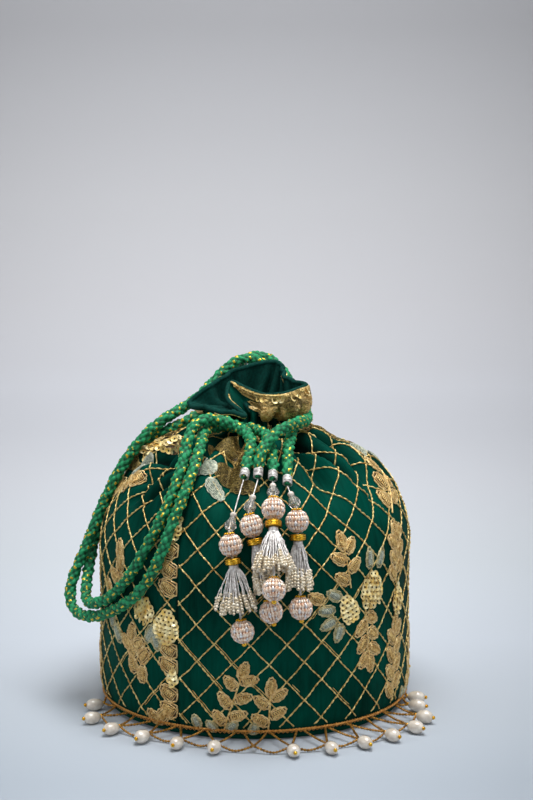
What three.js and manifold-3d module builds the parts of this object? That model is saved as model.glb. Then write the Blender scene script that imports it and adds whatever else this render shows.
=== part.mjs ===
// A small drawstring pouch: round stiff base, gathered cloth bag with a frill above the neck,
// two drawcords that make a doubled handle loop, four beaded tassels and a pearl lace hem.
// Millimetres, +Z up, front towards -Y; angles are measured from the front towards +X.
import * as THREE from "three";
import { mergeVertices } from "three/addons/utils/BufferGeometryUtils.js";
import Module from "manifold-3d";

// Bag
const bodyRadius = 76.7;
const clothThickness = 1.2;
const gap = 0.3; // room left between pieces that touch
const baseThickness = 2.6;
const baseInset = 0.3;
const footInset = 2.2; // the wall rounds in by this much at its foot
const footRise = 9;
const shoulderStart = 75;
const shoulderHeight = 59;
const shoulderEnd = THREE.MathUtils.degToRad(74);
const neckRadius = 12.5;
const neckRise = 11.5;
const pleatCount = 15;
const pleatDepth = 3;
const tiedPleatDepth = 1.5;
const neckPleatDepth = 2.2;
const frontSmoothing = 0.6; // share of the pleat depth lost in the middle of the front
const rightPleats = 0.6; // share added to the pleat depth right of the front
const rightFullness = 2.4; // how far the right of the shoulder swells out
const rightDip = 3.2; // how far it sinks again beside the neck

// Frill, measured from the top of the neck: the lobes and folds of its rim, in degrees round the bag,
// each with how far it reaches out and rises from the plain rim
const frillHeight = 14;
const frillRadius = 16;
const frillBulge = 5;
const frillRipple = 1.2;
const frillLobes = [
  { angle: -88, width: 34, reach: 15, rise: -8 }, // open pocket on the left
  { angle: -50, width: 22, reach: 5, rise: -7 }, // its lip, folded down
  { angle: -18, width: 10, reach: 6, rise: -9 }, // tongue at the end of the lip
  { angle: -3, width: 8, reach: -9, rise: 1 }, // deep fold between the tongue and the front
  { angle: 28, width: 24, reach: 7, rise: -1 }, // front
  { angle: 80, width: 18, reach: 8, rise: 0 }, // right tip
  { angle: 165, width: 46, reach: 2, rise: 9 }, // tall back
  { angle: -150, width: 14, reach: -3, rise: 1 }, // fold at the back left
];

// Lining
const liningThickness = 0.5;
const liningRoom = 0.5;
const liningSides = 40;

// Hem lace
const braidThickness = 1.1;
const braidHeight = 2.2;
const pearlPlaces = 34;
const lostPearlPlaces = [0, 9, 10, 11, 25, 26, 27]; // in front and at both sides
const laceDrift = THREE.MathUtils.degToRad(9);
const pearlRadius = 3.2;
const pearlHalfLength = 3.8;
const pearlThread = 0.6; // shortest thread between the braid and a pearl
const frontPearlThread = 15.5; // added where the lace is spread out, across the front
const pearlThreadLean = 5; // more of it on the right and less on the left
const spreadAngle = THREE.MathUtils.degToRad(50);
const tuckedAngle = THREE.MathUtils.degToRad(74);
const threadRadius = 0.6;

// Cords
const cordRadius = 2.8;
const cordSides = 8;
const cordSteps = 64;
const cordEasing = 5; // spacing of the points between which a cord's corners are eased

// Middle lines of the cords: from one tassel up to the neck, round it, down and up again
// as one strand of the handle loop, behind the frill, and down to the other tassel.
const cordRoutes = {
  drawcord_a: [
    [8.8, -60.2, 120.6], [9.2, -53.5, 126.4], [8.2, -44, 132.6], [6.8, -34.5, 136.8], [4.2, -26, 138.4],
    [-1, -21.4, 138.5], [-8, -18.8, 138.7], [-15.4, -17.6, 139], [-21.4, -20.6, 139.2], [-24.8, -25.8, 138.8],
    [-25.2, -32, 136.8], [-24.8, -38.6, 132.8], [-26.8, -46.7, 128.2], [-29.4, -54.5, 121.2],
    [-32.6, -60.5, 113.2], [-36.3, -64.3, 104.2], [-40.4, -66.6, 94.7], [-43, -67.6, 86], [-47, -65.6, 77.4],
    [-53, -60.8, 68], [-61.5, -52.5, 58.6], [-70.5, -42.5, 52], [-78.6, -32, 47.6], [-86, -22.4, 45.5],
    [-91, -14.6, 47.6], [-92.6, -9.6, 53.4], [-90.6, -7.2, 61], [-86.4, -5.8, 70.5], [-81.6, -4, 80.5],
    [-78.8, -2.6, 89.5], [-74.8, -2, 98.5], [-70.2, -1.4, 108], [-65, -0.4, 117.6], [-59, 1, 126],
    [-52.5, 1.8, 133.4], [-45, 4.2, 139.2], [-37.5, 9, 142.6], [-29, 16, 147.2], [-19.5, 24, 156],
    [-9, 28.4, 166.6], [3.5, 28, 166.2], [11.6, 23.6, 158], [17.8, 15.6, 148.2], [20.2, 5, 141.6],
    [19.8, -6, 139.6], [19.4, -17, 139], [17.8, -29, 137.6], [16.4, -41, 133.4], [15.8, -51.5, 127],
    [15.6, -61.6, 118.4],
  ],
  drawcord_b: [
    [-4.6, -60, 121.4], [-3.4, -53.1, 127.2], [-1, -44.5, 133], [-1.4, -34, 137.4], [-5.5, -26.5, 139.4],
    [-13, -24, 141.8], [-20.5, -26, 145], [-26.5, -28.5, 145], [-30.9, -33.4, 140.8], [-31.9, -39.4, 134.2],
    [-33, -46.5, 126.8], [-35.6, -53, 119.4], [-39.2, -58, 111], [-43.4, -61.9, 101], [-48.9, -62.2, 91],
    [-53.9, -60.4, 82], [-58.5, -56.8, 73.4], [-65, -49.8, 64.6], [-72, -41.5, 58], [-78, -33, 53.6],
    [-82, -24.5, 52.4], [-83.4, -16, 54.8], [-83.4, -8, 60.8], [-82, 0.4, 68.8], [-80.2, 4.8, 78.5],
    [-78, 5.5, 88.5], [-74.5, 5.8, 98.5], [-70, 5.8, 108.4], [-64.5, 6.3, 118], [-57.5, 6.6, 124.9],
    [-49, 6.9, 130.5], [-41, 6.6, 134.2], [-34, 6.4, 136.8], [-28.5, 9.8, 139.6], [-23.8, 16.6, 142.8],
    [-20, 26, 146.8], [-14.2, 31.4, 155.6], [-5.8, 35, 166], [5.2, 34.8, 167.8], [13.4, 30.8, 161.2],
    [18.6, 25.8, 153.2], [22.6, 19.2, 147], [25.9, 6, 141.9], [26, -8, 140.9], [24.6, -21, 142.2],
    [19.5, -33, 142.4], [11, -44, 141.4], [3.8, -51.4, 135], [2, -56.4, 127.8], [1.9, -60.6, 121.6],
  ],
};

// Tassels: each hangs from a cord end by a thread, in the order crystal, ball, ring, skirt, drop.
const tassels = [
  {
    name: "left", skirt: 8.2,
    hang: [-4.8, -60.7, 120.7], ball: [-10.4, -80.6, 94.2], drop: [-5, -86.7, 55.3],
  },
  {
    name: "back", skirt: 4,
    hang: [1.9, -61.1, 120.9], ball: [-0.9, -77.6, 102.6], drop: [8, -86, 64.4],
  },
  {
    name: "front", skirt: 7.4,
    hang: [8.8, -60.9, 119.9], ball: [9, -76.5, 110.2], drop: [9.2, -97, 77.5],
  },
  {
    name: "right", skirt: 5,
    hang: [15.6, -62.2, 117.8], ball: [19.9, -75.2, 104.2], drop: [21.6, -83.4, 65.4],
  },
];
const skirtLength = 20;
const ballRadius = 5.6;
const boreRadius = 0.95;
const ringRadius = 4;
const ringHeight = 3;
const crystalRadius = 3;
const crystalLength = 7;
const beadSides = 10;

// Finishes
function finish(color, roughness, metalness) {
  return new THREE.MeshStandardMaterial({ color, roughness, metalness });
}

const finishes = {
  silk: finish("#064238", 0.55, 0),
  lining: finish("#0a4036", 0.85, 0),
  braid: finish("#c98a3f", 0.45, 0.45),
  cord: finish("#1e7a4c", 0.75, 0),
  pearl: finish("#ece5d9", 0.28, 0),
  thread: finish("#b9b0ae", 0.4, 0.4),
  crystal: finish("#e6eef2", 0.05, 0),
  beads: finish("#d9b7a6", 0.2, 0.2),
  gilt: finish("#d9a520", 0.25, 1),
};

const group = new THREE.Group();
const wasm = await Module();
wasm.setup();

function addPiece(name, geometry, material) {
  const mesh = new THREE.Mesh(geometry, material);
  mesh.name = name;
  group.add(mesh);
  return mesh;
}

function solidFrom(geometry) {
  const bare = geometry.clone();
  bare.deleteAttribute("normal");
  bare.deleteAttribute("uv");
  const merged = mergeVertices(bare, 1e-3);
  return new wasm.Manifold(
    new wasm.Mesh({
      numProp: 3,
      vertProperties: merged.attributes.position.array,
      triVerts: new Uint32Array(merged.index.array),
    }),
  );
}

function geometryFrom(solid) {
  const mesh = solid.getMesh();
  return new THREE.BufferGeometry()
    .setAttribute("position", new THREE.BufferAttribute(mesh.vertProperties, 3))
    .setIndex(new THREE.BufferAttribute(mesh.triVerts, 1));
}

// Turns [radius, height] pairs, listed up the outside, about the Z axis.
function turned(pairs, sides) {
  const points = pairs.map(([r, z]) => new THREE.Vector2(r, z));
  return new THREE.LatheGeometry(points, sides).rotateX(Math.PI / 2);
}

function tube(points, radius, sides, steps) {
  const outline = [];
  for (let i = 0; i < sides; i++) {
    const turn = (2 * Math.PI * i) / sides;
    outline.push(new THREE.Vector2(radius * Math.cos(turn), radius * Math.sin(turn)));
  }
  const path = new THREE.CatmullRomCurve3(points.map((p) => new THREE.Vector3(...p)));
  return new THREE.ExtrudeGeometry(new THREE.Shape(outline), { steps, extrudePath: path });
}

// A cord's route with its corners eased, as a limp cord eases them.
function easedRoute(route) {
  const path = new THREE.CatmullRomCurve3(route.map((p) => new THREE.Vector3(...p)));
  let points = path.getSpacedPoints(Math.round(path.getLength() / cordEasing));
  for (let pass = 0; pass < 4; pass++) {
    const before = points;
    points = before.map((p, i) => {
      const inside = i > 0 && i < before.length - 1;
      return inside ? p.clone().multiplyScalar(2).add(before[i - 1]).add(before[i + 1]).divideScalar(4) : p;
    });
  }
  return points;
}

function hump(angle, middle, width) {
  const away = Math.atan2(Math.sin(angle - middle), Math.cos(angle - middle)) / width;
  return Math.exp(-away * away);
}

const smooth = THREE.MathUtils.smoothstep;
const lerp = THREE.MathUtils.lerp;
const wallBottom = baseThickness + gap;
const rightSide = THREE.MathUtils.degToRad(100);
const rightFront = THREE.MathUtils.degToRad(45);

// Broad rounded ridges with narrow valleys, unevenly spaced round the bag.
function pleat(angle) {
  const phase = pleatCount * angle + 0.5 * Math.sin(2 * angle + 1) + 0.35 * Math.sin(3 * angle + 0.6);
  return 1 - 2 * Math.pow((1 - Math.cos(phase)) / 2, 1.9);
}

// The four zones of the cloth from the hem up. Each gives the smooth profile [radius, height]
// at a share of the zone, and the pleat depth there.
const shoulderReach = bodyRadius - neckRadius;
const tieRadius = neckRadius + shoulderReach * Math.cos(shoulderEnd);
const tieHeight = shoulderStart + shoulderHeight * Math.sin(shoulderEnd);
const neckTop = tieHeight + neckRise;

function wallRadius(z) {
  const low = 1 - Math.min(1, (z - wallBottom) / footRise);
  return bodyRadius - footInset * low * low;
}

function wall(share) {
  const z = lerp(wallBottom, shoulderStart, share);
  return [wallRadius(z), z];
}

function shoulder(share, angle) {
  const turn = share * shoulderEnd;
  const swell = rightFullness * hump(angle, rightSide, 1) * Math.sin(Math.PI * share);
  const dip = rightDip * hump(angle, rightSide, 0.7) * smooth(share, 0.5, 0.85) * (1 - smooth(share, 0.88, 1));
  return [
    neckRadius + (shoulderReach + swell - dip) * Math.cos(turn),
    shoulderStart + (shoulderHeight + swell - dip) * Math.sin(turn),
  ];
}

function neck(share) {
  const turn = (share * Math.PI) / 2;
  return [
    neckRadius + (tieRadius - neckRadius) * (1 - Math.sin(turn)),
    tieHeight + neckRise * (1 - Math.cos(turn)),
  ];
}

function frill(share, angle) {
  const front = (1 + Math.cos(angle)) / 2;
  let rimRadius = frillRadius + frillRipple * Math.cos(9 * angle + 1);
  let rimRise = frillHeight;
  for (const lobe of frillLobes) {
    const size = hump(angle, THREE.MathUtils.degToRad(lobe.angle), THREE.MathUtils.degToRad(lobe.width));
    rimRadius += lobe.reach * size;
    rimRise += lobe.rise * size;
  }
  const puff = Math.sin(Math.PI * Math.pow(share, 0.6));
  const bulge = frillBulge * lerp(0.6, 1.2, front);
  return [
    lerp(neckRadius, rimRadius, share) + bulge * puff,
    neckTop + rimRise * share - 1.2 * front * puff,
  ];
}

function shoulderPleats(share, angle) {
  const smoothFront = 1 - frontSmoothing * hump(angle, 0.1, 0.5);
  const deepRight = 1 + rightPleats * hump(angle, rightFront, 0.45);
  return pleatDepth * smooth(share, 0.25, 0.8) * smoothFront * deepRight;
}

function neckPleats(share, angle) {
  const from = shoulderPleats(1, angle);
  const tied = lerp(from, tiedPleatDepth, smooth(share, 0, 0.35));
  return lerp(tied, neckPleatDepth, smooth(share, 0.4, 1));
}

function frillPleats(share) {
  return lerp(neckPleatDepth, 0.5, share);
}

const zones = [
  { profile: wall, pleats: () => 0, shares: [0, 0.05, 0.13, 1] },
  { profile: shoulder, pleats: shoulderPleats, shares: [0.2, 0.36, 0.5, 0.63, 0.75, 0.87, 1] },
  { profile: neck, pleats: neckPleats, shares: [0.35, 0.65, 1] },
  { profile: frill, pleats: frillPleats, shares: [0.12, 0.3, 0.52, 0.76, 1] },
];

// A point of the cloth, sunk by the given depth below its outer face.
function clothPoint(zone, share, angle, depth) {
  const step = 0.01;
  const [r, z] = zone.profile(share, angle);
  const [rUp, zUp] = zone.profile(Math.min(1, share + step), angle);
  const [rDown, zDown] = zone.profile(Math.max(0, share - step), angle);
  const length = Math.hypot(rUp - rDown, zUp - zDown);
  const outward = (zUp - zDown) / length;
  const upward = (rDown - rUp) / length;
  const lift = zone.pleats(share, angle) * pleat(angle) - depth;
  return [r + outward * lift, z + upward * lift];
}

// Outer bag: one gathered cloth, hollow, open at the hem and at the frill's rim.
function gatheredBag() {
  const rows = zones.flatMap((zone) => zone.shares.map((share) => ({ zone, share, depth: 0 })));
  const inside = rows.map((row) => ({ ...row, depth: clothThickness })).reverse();
  const loop = [...rows, ...inside, rows[0]];
  const sides = pleatCount * 6;
  const placeholders = loop.map((_, i) => new THREE.Vector2(1, i));
  const geometry = new THREE.LatheGeometry(placeholders, sides);
  const position = geometry.attributes.position;
  for (let i = 0; i <= sides; i++) {
    const angle = (2 * Math.PI * (i % sides)) / sides;
    loop.forEach(({ zone, share, depth }, j) => {
      const [r, z] = clothPoint(zone, share, angle, depth);
      position.setXYZ(i * loop.length + j, r * Math.sin(angle), -r * Math.cos(angle), z);
    });
  }
  return geometry;
}

addPiece("outer_bag", gatheredBag(), finishes.silk);

// Base: a covered stiff disc that the bag's wall stands on, with a softened edge.
const baseRadius = bodyRadius - footInset - baseInset;
addPiece(
  "base_disc",
  turned(
    [
      [0, 0],
      [baseRadius - 0.7, 0],
      [baseRadius, 0.7],
      [baseRadius, baseThickness - 0.5],
      [baseRadius - 0.5, baseThickness],
      [0, baseThickness],
    ],
    60,
  ),
  finishes.silk,
);

// Lining: a smooth cup inside the bag, closed over the base and open in the neck.
function liningProfile() {
  const outside = [];
  const inset = clothThickness + liningRoom;
  for (const share of zones[0].shares) {
    const [r, z] = wall(share);
    outside.push([r - inset, z]);
  }
  for (const share of [0.15, 0.3, 0.45, 0.6, 0.72, 0.84, 1]) {
    const [r, z] = shoulder(share, rightSide + Math.PI);
    const sunk = inset + (pleatDepth * (1 + rightPleats) + rightDip / 2) * smooth(share, 0, 0.7);
    const turn = share * shoulderEnd;
    outside.push([r - sunk * Math.cos(turn), z - sunk * Math.sin(turn)]);
  }
  const throat = neckRadius - neckPleatDepth - inset;
  outside.push([throat + 3, tieHeight + 0.5]);
  outside.push([throat, tieHeight + 4]);
  outside.push([throat, neckTop]);
  const inside = outside.map(([r, z], i) => {
    const before = outside[Math.max(0, i - 1)];
    const after = outside[Math.min(outside.length - 1, i + 1)];
    const length = Math.hypot(after[0] - before[0], after[1] - before[1]);
    const outward = (after[1] - before[1]) / length;
    const upward = (before[0] - after[0]) / length;
    return [r - outward * liningThickness, z - upward * liningThickness];
  });
  const floor = wallBottom;
  inside[0][1] = floor + liningThickness;
  inside[inside.length - 1][1] = neckTop;
  return [[0, floor], ...outside, ...inside.reverse(), [0, floor + liningThickness]];
}

addPiece("lining", turned(liningProfile(), liningSides), finishes.lining);

// Hem: a braid round the wall's foot, and pearls on threads that lie on the table.
const braidTop = wallBottom + braidHeight;
const braidInnerTop = wallRadius(braidTop) + gap;
const braidInnerFoot = wallRadius(wallBottom) + gap;
const braidOuter = braidInnerTop + braidThickness;
addPiece(
  "lace_braid",
  turned(
    [
      [braidInnerFoot, wallBottom],
      [braidOuter, wallBottom + 0.4],
      [braidOuter, braidTop - 0.4],
      [braidInnerTop, braidTop],
      [braidInnerFoot, wallBottom],
    ],
    54,
  ),
  finishes.braid,
);

// A pearl with the thread that carries it, standing with the pearl's middle at z = 0.
function pearlDrop(thread) {
  const outline = [[0, -pearlHalfLength - thread]];
  outline.push([threadRadius, -pearlHalfLength - thread]);
  for (const turn of [-1.39, -0.8, 0, 0.8, 1.39]) {
    outline.push([pearlRadius * Math.cos(turn), pearlHalfLength * Math.sin(turn)]);
  }
  outline.push([0, pearlHalfLength + 0.9]);
  return turned(outline, 6).rotateY(Math.PI / 2);
}

const pearlHeight = pearlRadius + 0.2;
for (let place = 0; place < pearlPlaces; place++) {
  if (lostPearlPlaces.includes(place)) continue;
  const even = (2 * Math.PI * place) / pearlPlaces;
  const angle = even - laceDrift * (1 - Math.cos(even));
  const away = Math.abs(Math.atan2(Math.sin(angle), Math.cos(angle)));
  const spread = 1 - smooth(away, spreadAngle, tuckedAngle);
  const reach = frontPearlThread + pearlThreadLean * Math.sin(angle) + 1.4 * Math.sin(5 * even);
  const thread = pearlThread + spread * reach;
  const middle = braidOuter + gap + thread + pearlHalfLength;
  const name = "pearl_drop_" + String(place).padStart(2, "0");
  const drop = addPiece(name, pearlDrop(thread), finishes.pearl);
  drop.rotation.z = angle - Math.PI / 2;
  drop.position.set(middle * Math.sin(angle), -middle * Math.cos(angle), pearlHeight);
}

// Drawcords
for (const [name, route] of Object.entries(cordRoutes)) {
  addPiece(name, tube(easedRoute(route), cordRadius, cordSides, cordSteps), finishes.cord);
}

// Beads are turned about the thread and bored for it, with their middle at z = 0.
function ballBead() {
  const outline = [];
  const pole = Math.acos(boreRadius / ballRadius);
  for (let i = 0; i <= 6; i++) {
    const turn = lerp(-pole, pole, i / 6);
    outline.push([ballRadius * Math.cos(turn), ballRadius * Math.sin(turn)]);
  }
  outline.push(outline[0]);
  return turned(outline, beadSides);
}

function ringBead() {
  const half = ringHeight / 2;
  const outline = [
    [boreRadius, -half],
    [ringRadius - 0.8, -half],
    [ringRadius, -half * 0.4],
    [ringRadius, half * 0.4],
    [ringRadius - 0.8, half],
    [boreRadius, half],
  ];
  outline.push(outline[0]);
  return turned(outline, beadSides);
}

function crystalBead() {
  const half = crystalLength / 2;
  const outline = [
    [boreRadius, -half],
    [crystalRadius * 0.7, -half * 0.85],
    [crystalRadius, -half * 0.3],
    [crystalRadius * 0.6, half * 0.5],
    [boreRadius + 0.3, half],
    [boreRadius, half],
  ];
  outline.push(outline[0]);
  return turned(outline, 8);
}

const ringMiddle = -(ballRadius + gap + ringHeight / 2);
const skirtTop = ringMiddle - ringHeight / 2 - gap;
const skirtBottom = skirtTop - skirtLength;
const kinkRise = ballRadius + 0.8;

// The thread through ball, ring and drop, with the skirt of threads tied on it as a hollow bell.
function skirtAndThread(length, skirtRadius) {
  return turned(
    [
      [0, -length - ballRadius * 0.6],
      [threadRadius, -length - ballRadius * 0.6],
      [threadRadius, skirtTop - 4],
      [skirtRadius - 1.2, skirtBottom],
      [skirtRadius, skirtBottom],
      [lerp(ringRadius - 1, skirtRadius, 0.55), lerp(skirtTop, skirtBottom, 0.6)],
      [ringRadius - 1, skirtTop - 1.5],
      [ringRadius - 1, skirtTop],
      [threadRadius, skirtTop],
      [threadRadius, kinkRise],
      [0, kinkRise + 0.5],
    ],
    beadSides,
  );
}

const up = new THREE.Vector3(0, 0, 1);
for (const { name, hang, ball, drop, skirt } of tassels) {
  const hangPoint = new THREE.Vector3(...hang);
  const ballPoint = new THREE.Vector3(...ball);
  const dropPoint = new THREE.Vector3(...drop);
  const upAlong = ballPoint.clone().sub(dropPoint).normalize();
  const length = ballPoint.distanceTo(dropPoint);
  const kink = ballPoint.clone().addScaledVector(upAlong, kinkRise);
  const toHang = hangPoint.clone().sub(kink).normalize();
  const lean = new THREE.Quaternion().setFromUnitVectors(up, upAlong);

  const hung = skirtAndThread(length, skirt).applyQuaternion(lean).translate(...ball);
  const middleOfThread = hangPoint.clone().lerp(kink, 0.5);
  const upper = tube([hang, middleOfThread.toArray(), kink.toArray()], threadRadius, 6, 2);
  const threads = geometryFrom(solidFrom(hung).add(solidFrom(upper)));
  addPiece("tassel_" + name + "_threads", threads, finishes.thread);

  const crystal = addPiece("tassel_" + name + "_crystal", crystalBead(), finishes.crystal);
  crystal.position.copy(kink).addScaledVector(toHang, crystalLength / 2 + 0.7);
  crystal.quaternion.setFromUnitVectors(up, toHang);
  const strung = [
    ["ball", ballBead(), 0, finishes.beads],
    ["ring", ringBead(), ringMiddle, finishes.gilt],
    ["drop", ballBead(), -length, finishes.beads],
  ];
  for (const [piece, geometry, height, material] of strung) {
    const bead = addPiece("tassel_" + name + "_" + piece, geometry, material);
    bead.position.copy(ballPoint).addScaledVector(upAlong, height);
    bead.quaternion.copy(lean);
  }
}

export default group;
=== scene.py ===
import math
import random

import bmesh
import bpy
from mathutils import Matrix, Vector, noise
from mathutils.geometry import interpolate_bezier


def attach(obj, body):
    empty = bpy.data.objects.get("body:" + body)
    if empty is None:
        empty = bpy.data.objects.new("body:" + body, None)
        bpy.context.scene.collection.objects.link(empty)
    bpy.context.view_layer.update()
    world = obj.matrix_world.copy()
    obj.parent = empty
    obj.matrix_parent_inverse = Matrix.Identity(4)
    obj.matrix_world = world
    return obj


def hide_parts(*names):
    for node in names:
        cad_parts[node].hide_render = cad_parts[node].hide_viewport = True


# A gathered silk pouch with couched gold thread, beaded tassels and a pearl hem.
# Route points and sizes are in millimetres; meshes are in metres.
# Angles on the bag are measured from the front (-Y) towards +X.
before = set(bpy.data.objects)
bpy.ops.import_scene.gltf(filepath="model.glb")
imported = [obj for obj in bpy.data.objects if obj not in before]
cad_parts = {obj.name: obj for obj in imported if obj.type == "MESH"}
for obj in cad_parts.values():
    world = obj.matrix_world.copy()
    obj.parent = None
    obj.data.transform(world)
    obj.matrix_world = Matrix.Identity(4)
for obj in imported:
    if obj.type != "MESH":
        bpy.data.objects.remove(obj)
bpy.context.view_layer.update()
mm = 0.001
pi = math.pi
scene = bpy.context.scene
scene.view_settings.view_transform = "Standard"
print("frame loaded:", len(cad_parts), "nodes")


# Small helpers

def hexColour(code):
    values = [int(code[i:i + 2], 16) / 255 for i in (1, 3, 5)]
    return tuple(v / 12.92 if v <= 0.04045 else ((v + 0.055) / 1.055) ** 2.4 for v in values) + (1,)


def addNode(tree, kind, settings=None, values=None, links=None):
    node = tree.nodes.new(kind)
    for name, value in (settings or {}).items():
        setattr(node, name, value)
    for name, value in (values or {}).items():
        node.inputs[name].default_value = value
    for name, source in (links or {}).items():
        tree.links.new(source, node.inputs[name])
    return node


def newMaterial(name, values):
    material = bpy.data.materials.new(name)
    material.use_nodes = True
    shader = material.node_tree.nodes["Principled BSDF"]
    for socket, value in values.items():
        shader.inputs[socket].default_value = value
    return material, material.node_tree, shader


def lerp(a, b, share):
    return a + (b - a) * share


def smoothstep(value, low, high):
    share = min(1, max(0, (value - low) / (high - low)))
    return share * share * (3 - 2 * share)


def hump(angle, middle, width):
    away = math.atan2(math.sin(angle - middle), math.cos(angle - middle)) / width
    return math.exp(-away * away)


def meshObject(name, bm, *materials, smooth=True):
    mesh = unitMesh(name, bm)
    if smooth:
        mesh.shade_smooth()
    return sceneObject(name, mesh, *materials)


def sceneObject(name, data, *materials):
    piece = bpy.data.objects.new(name, data)
    scene.collection.objects.link(piece)
    for material in materials:
        data.materials.append(material)
    return piece


# Threads are one curve object: each strand is a list of (point, thickness in mm)
def threadObject(name, strands, material, sides=0, closed=False):
    curve = bpy.data.curves.new(name, "CURVE")
    curve.dimensions = "3D"
    curve.bevel_depth = mm
    curve.bevel_resolution = sides
    curve.use_fill_caps = not closed
    for strand in strands:
        spline = curve.splines.new("POLY")
        spline.points.add(len(strand) - 1)
        for point, (place, thickness) in zip(spline.points, strand):
            point.co = (*place, 1)
            point.radius = thickness
        spline.use_cyclic_u = closed
    return sceneObject(name, curve, material)


def evenly(points, spacing):
    total = sum((b - a).length for a, b in zip(points, points[1:]))
    steps = max(1, round(total / spacing))
    spaced = [points[0].copy()]
    gone = 0.0
    for a, b in zip(points, points[1:]):
        length = (b - a).length
        while len(spaced) < steps and gone + length >= len(spaced) * total / steps:
            spaced.append(a.lerp(b, (len(spaced) * total / steps - gone) / length))
        gone += length
    spaced.append(points[-1].copy())
    return spaced


def smoothRoute(points, spacing):
    dense = []
    last = len(points) - 1
    for i in range(last):
        before = points[max(0, i - 1)]
        start = points[i]
        end = points[i + 1]
        after = points[min(last, i + 2)]
        leave = start + (end - before) / 6
        arrive = end - (after - start) / 6
        dense += interpolate_bezier(start, leave, arrive, end, 12)[:-1]
    dense.append(points[last])
    return evenly(dense, spacing)


# A point, and two directions across the path that don't twist along it
def pathFrames(path):
    frames = []
    last = len(path) - 1
    side = None
    for i, point in enumerate(path):
        along = (path[min(i + 1, last)] - path[max(i - 1, 0)]).normalized()
        side = along.orthogonal() if side is None else side
        side = (side - along * side.dot(along)).normalized()
        frames.append((point, side, along.cross(side)))
    return frames


# Turns a unit shape so that its X and Z follow the given directions
def placed(point, xDirection, zDirection, size):
    z = zDirection.normalized()
    x = (xDirection - z * xDirection.dot(z)).normalized()
    turned = Matrix((x, z.cross(x), z)).transposed().to_4x4()
    return Matrix.Translation(point) @ turned @ Matrix.Diagonal((*size, 1))


# One mesh from many placed copies of a small unit mesh
def scattered(name, unit, matrices, material):
    bm = bmesh.new()
    for matrix in matrices:
        copy = unit.copy()
        copy.transform(matrix)
        bm.from_mesh(copy)
        bpy.data.meshes.remove(copy)
    return meshObject(name, bm, material)


def unitMesh(name, bm):
    mesh = bpy.data.meshes.new(name)
    bm.to_mesh(mesh)
    bm.free()
    return mesh


def unitBead():
    bm = bmesh.new()
    bmesh.ops.create_icosphere(bm, subdivisions=2, radius=1)
    return unitMesh("bead", bm)


# A point at a radius and height, in mm, and an angle round the bag
def roundBag(radius, angle, z):
    return Vector((radius * math.sin(angle), -radius * math.cos(angle), z)) * mm


def ridesOn(piece, body, slot, *nodes):
    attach(piece, body)
    if nodes:
        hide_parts(*nodes)
    return piece


# Camera, at the height and distance that the picture was taken from
photoCamera = dict(lens=84.7, place=(0.0059, -0.9191, 0.2864), tiltDown=8.5)
camera = bpy.data.objects.new("camera", bpy.data.cameras.new("camera"))
camera.data.lens = photoCamera["lens"]
camera.location = photoCamera["place"]
camera.rotation_euler = (math.radians(90 - photoCamera["tiltDown"]), 0, 0)
scene.collection.objects.link(camera)
scene.camera = camera


# Materials

# Plain-woven art silk, dyed bottle green: faint upright threads, and painted shade that darkens its deep
# folds and its seam.
# Real threads are 0.15 mm apart; they are drawn 0.8 mm apart so that they show.
def greenSilk():
    material, tree, shader = newMaterial("green silk", {"Roughness": 0.6, "Specular IOR Level": 0.02})
    threadSpacing = 0.8 * mm
    coords = addNode(tree, "ShaderNodeTexCoord").outputs["UV"]
    stretch = addNode(tree, "ShaderNodeMapping", values={"Scale": (1, 0.12, 1)}, links={"Vector": coords})
    slub = addNode(tree, "ShaderNodeTexNoise", values={"Scale": 420, "Detail": 4, "Roughness": 0.65},
                   links={"Vector": stretch.outputs["Vector"]})
    tone = addNode(tree, "ShaderNodeTexNoise", values={"Scale": 22, "Detail": 2}, links={"Vector": coords})
    blend = addNode(tree, "ShaderNodeMath", {"operation": "MULTIPLY_ADD"}, {1: 0.65},
                    {0: slub.outputs["Fac"], 2: tone.outputs["Fac"]})
    ramp = addNode(tree, "ShaderNodeValToRGB", links={"Fac": blend.outputs["Value"]})
    ramp.color_ramp.elements[0].position = 0.55
    ramp.color_ramp.elements[0].color = hexColour("#00261D")
    ramp.color_ramp.elements[1].position = 1.0
    ramp.color_ramp.elements[1].color = hexColour("#00473A")
    warp = addNode(tree, "ShaderNodeTexWave", {"bands_direction": "X"},
                   {"Scale": 0.314 / threadSpacing, "Distortion": 1.2, "Detail": 1}, {"Vector": coords})
    weft = addNode(tree, "ShaderNodeTexWave", {"bands_direction": "Y"},
                   {"Scale": 0.314 / threadSpacing, "Distortion": 1.2, "Detail": 1}, {"Vector": coords})
    weave = addNode(tree, "ShaderNodeMath", {"operation": "ADD"},
                    links={0: warp.outputs["Fac"], 1: weft.outputs["Fac"]})
    bump = addNode(tree, "ShaderNodeBump", values={"Strength": 0.18, "Distance": 0.12 * mm},
                   links={"Height": weave.outputs["Value"]})
    # Painted shade: the silk's colour is mixed towards near black by the painted fold shade attribute, in the
    # deep folds and along the seam
    paintedFoldShade = addNode(tree, "ShaderNodeAttribute", {"attribute_name": "paintedFoldShade"})
    shaded = addNode(tree, "ShaderNodeMix", {"data_type": "RGBA"}, {"B": hexColour("#010F0C")},
                     {"Factor": paintedFoldShade.outputs["Fac"], "A": ramp.outputs["Color"]})
    tree.links.new(shaded.outputs["Result"], shader.inputs["Base Color"])
    tree.links.new(bump.outputs["Normal"], shader.inputs["Normal"])
    return material


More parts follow.
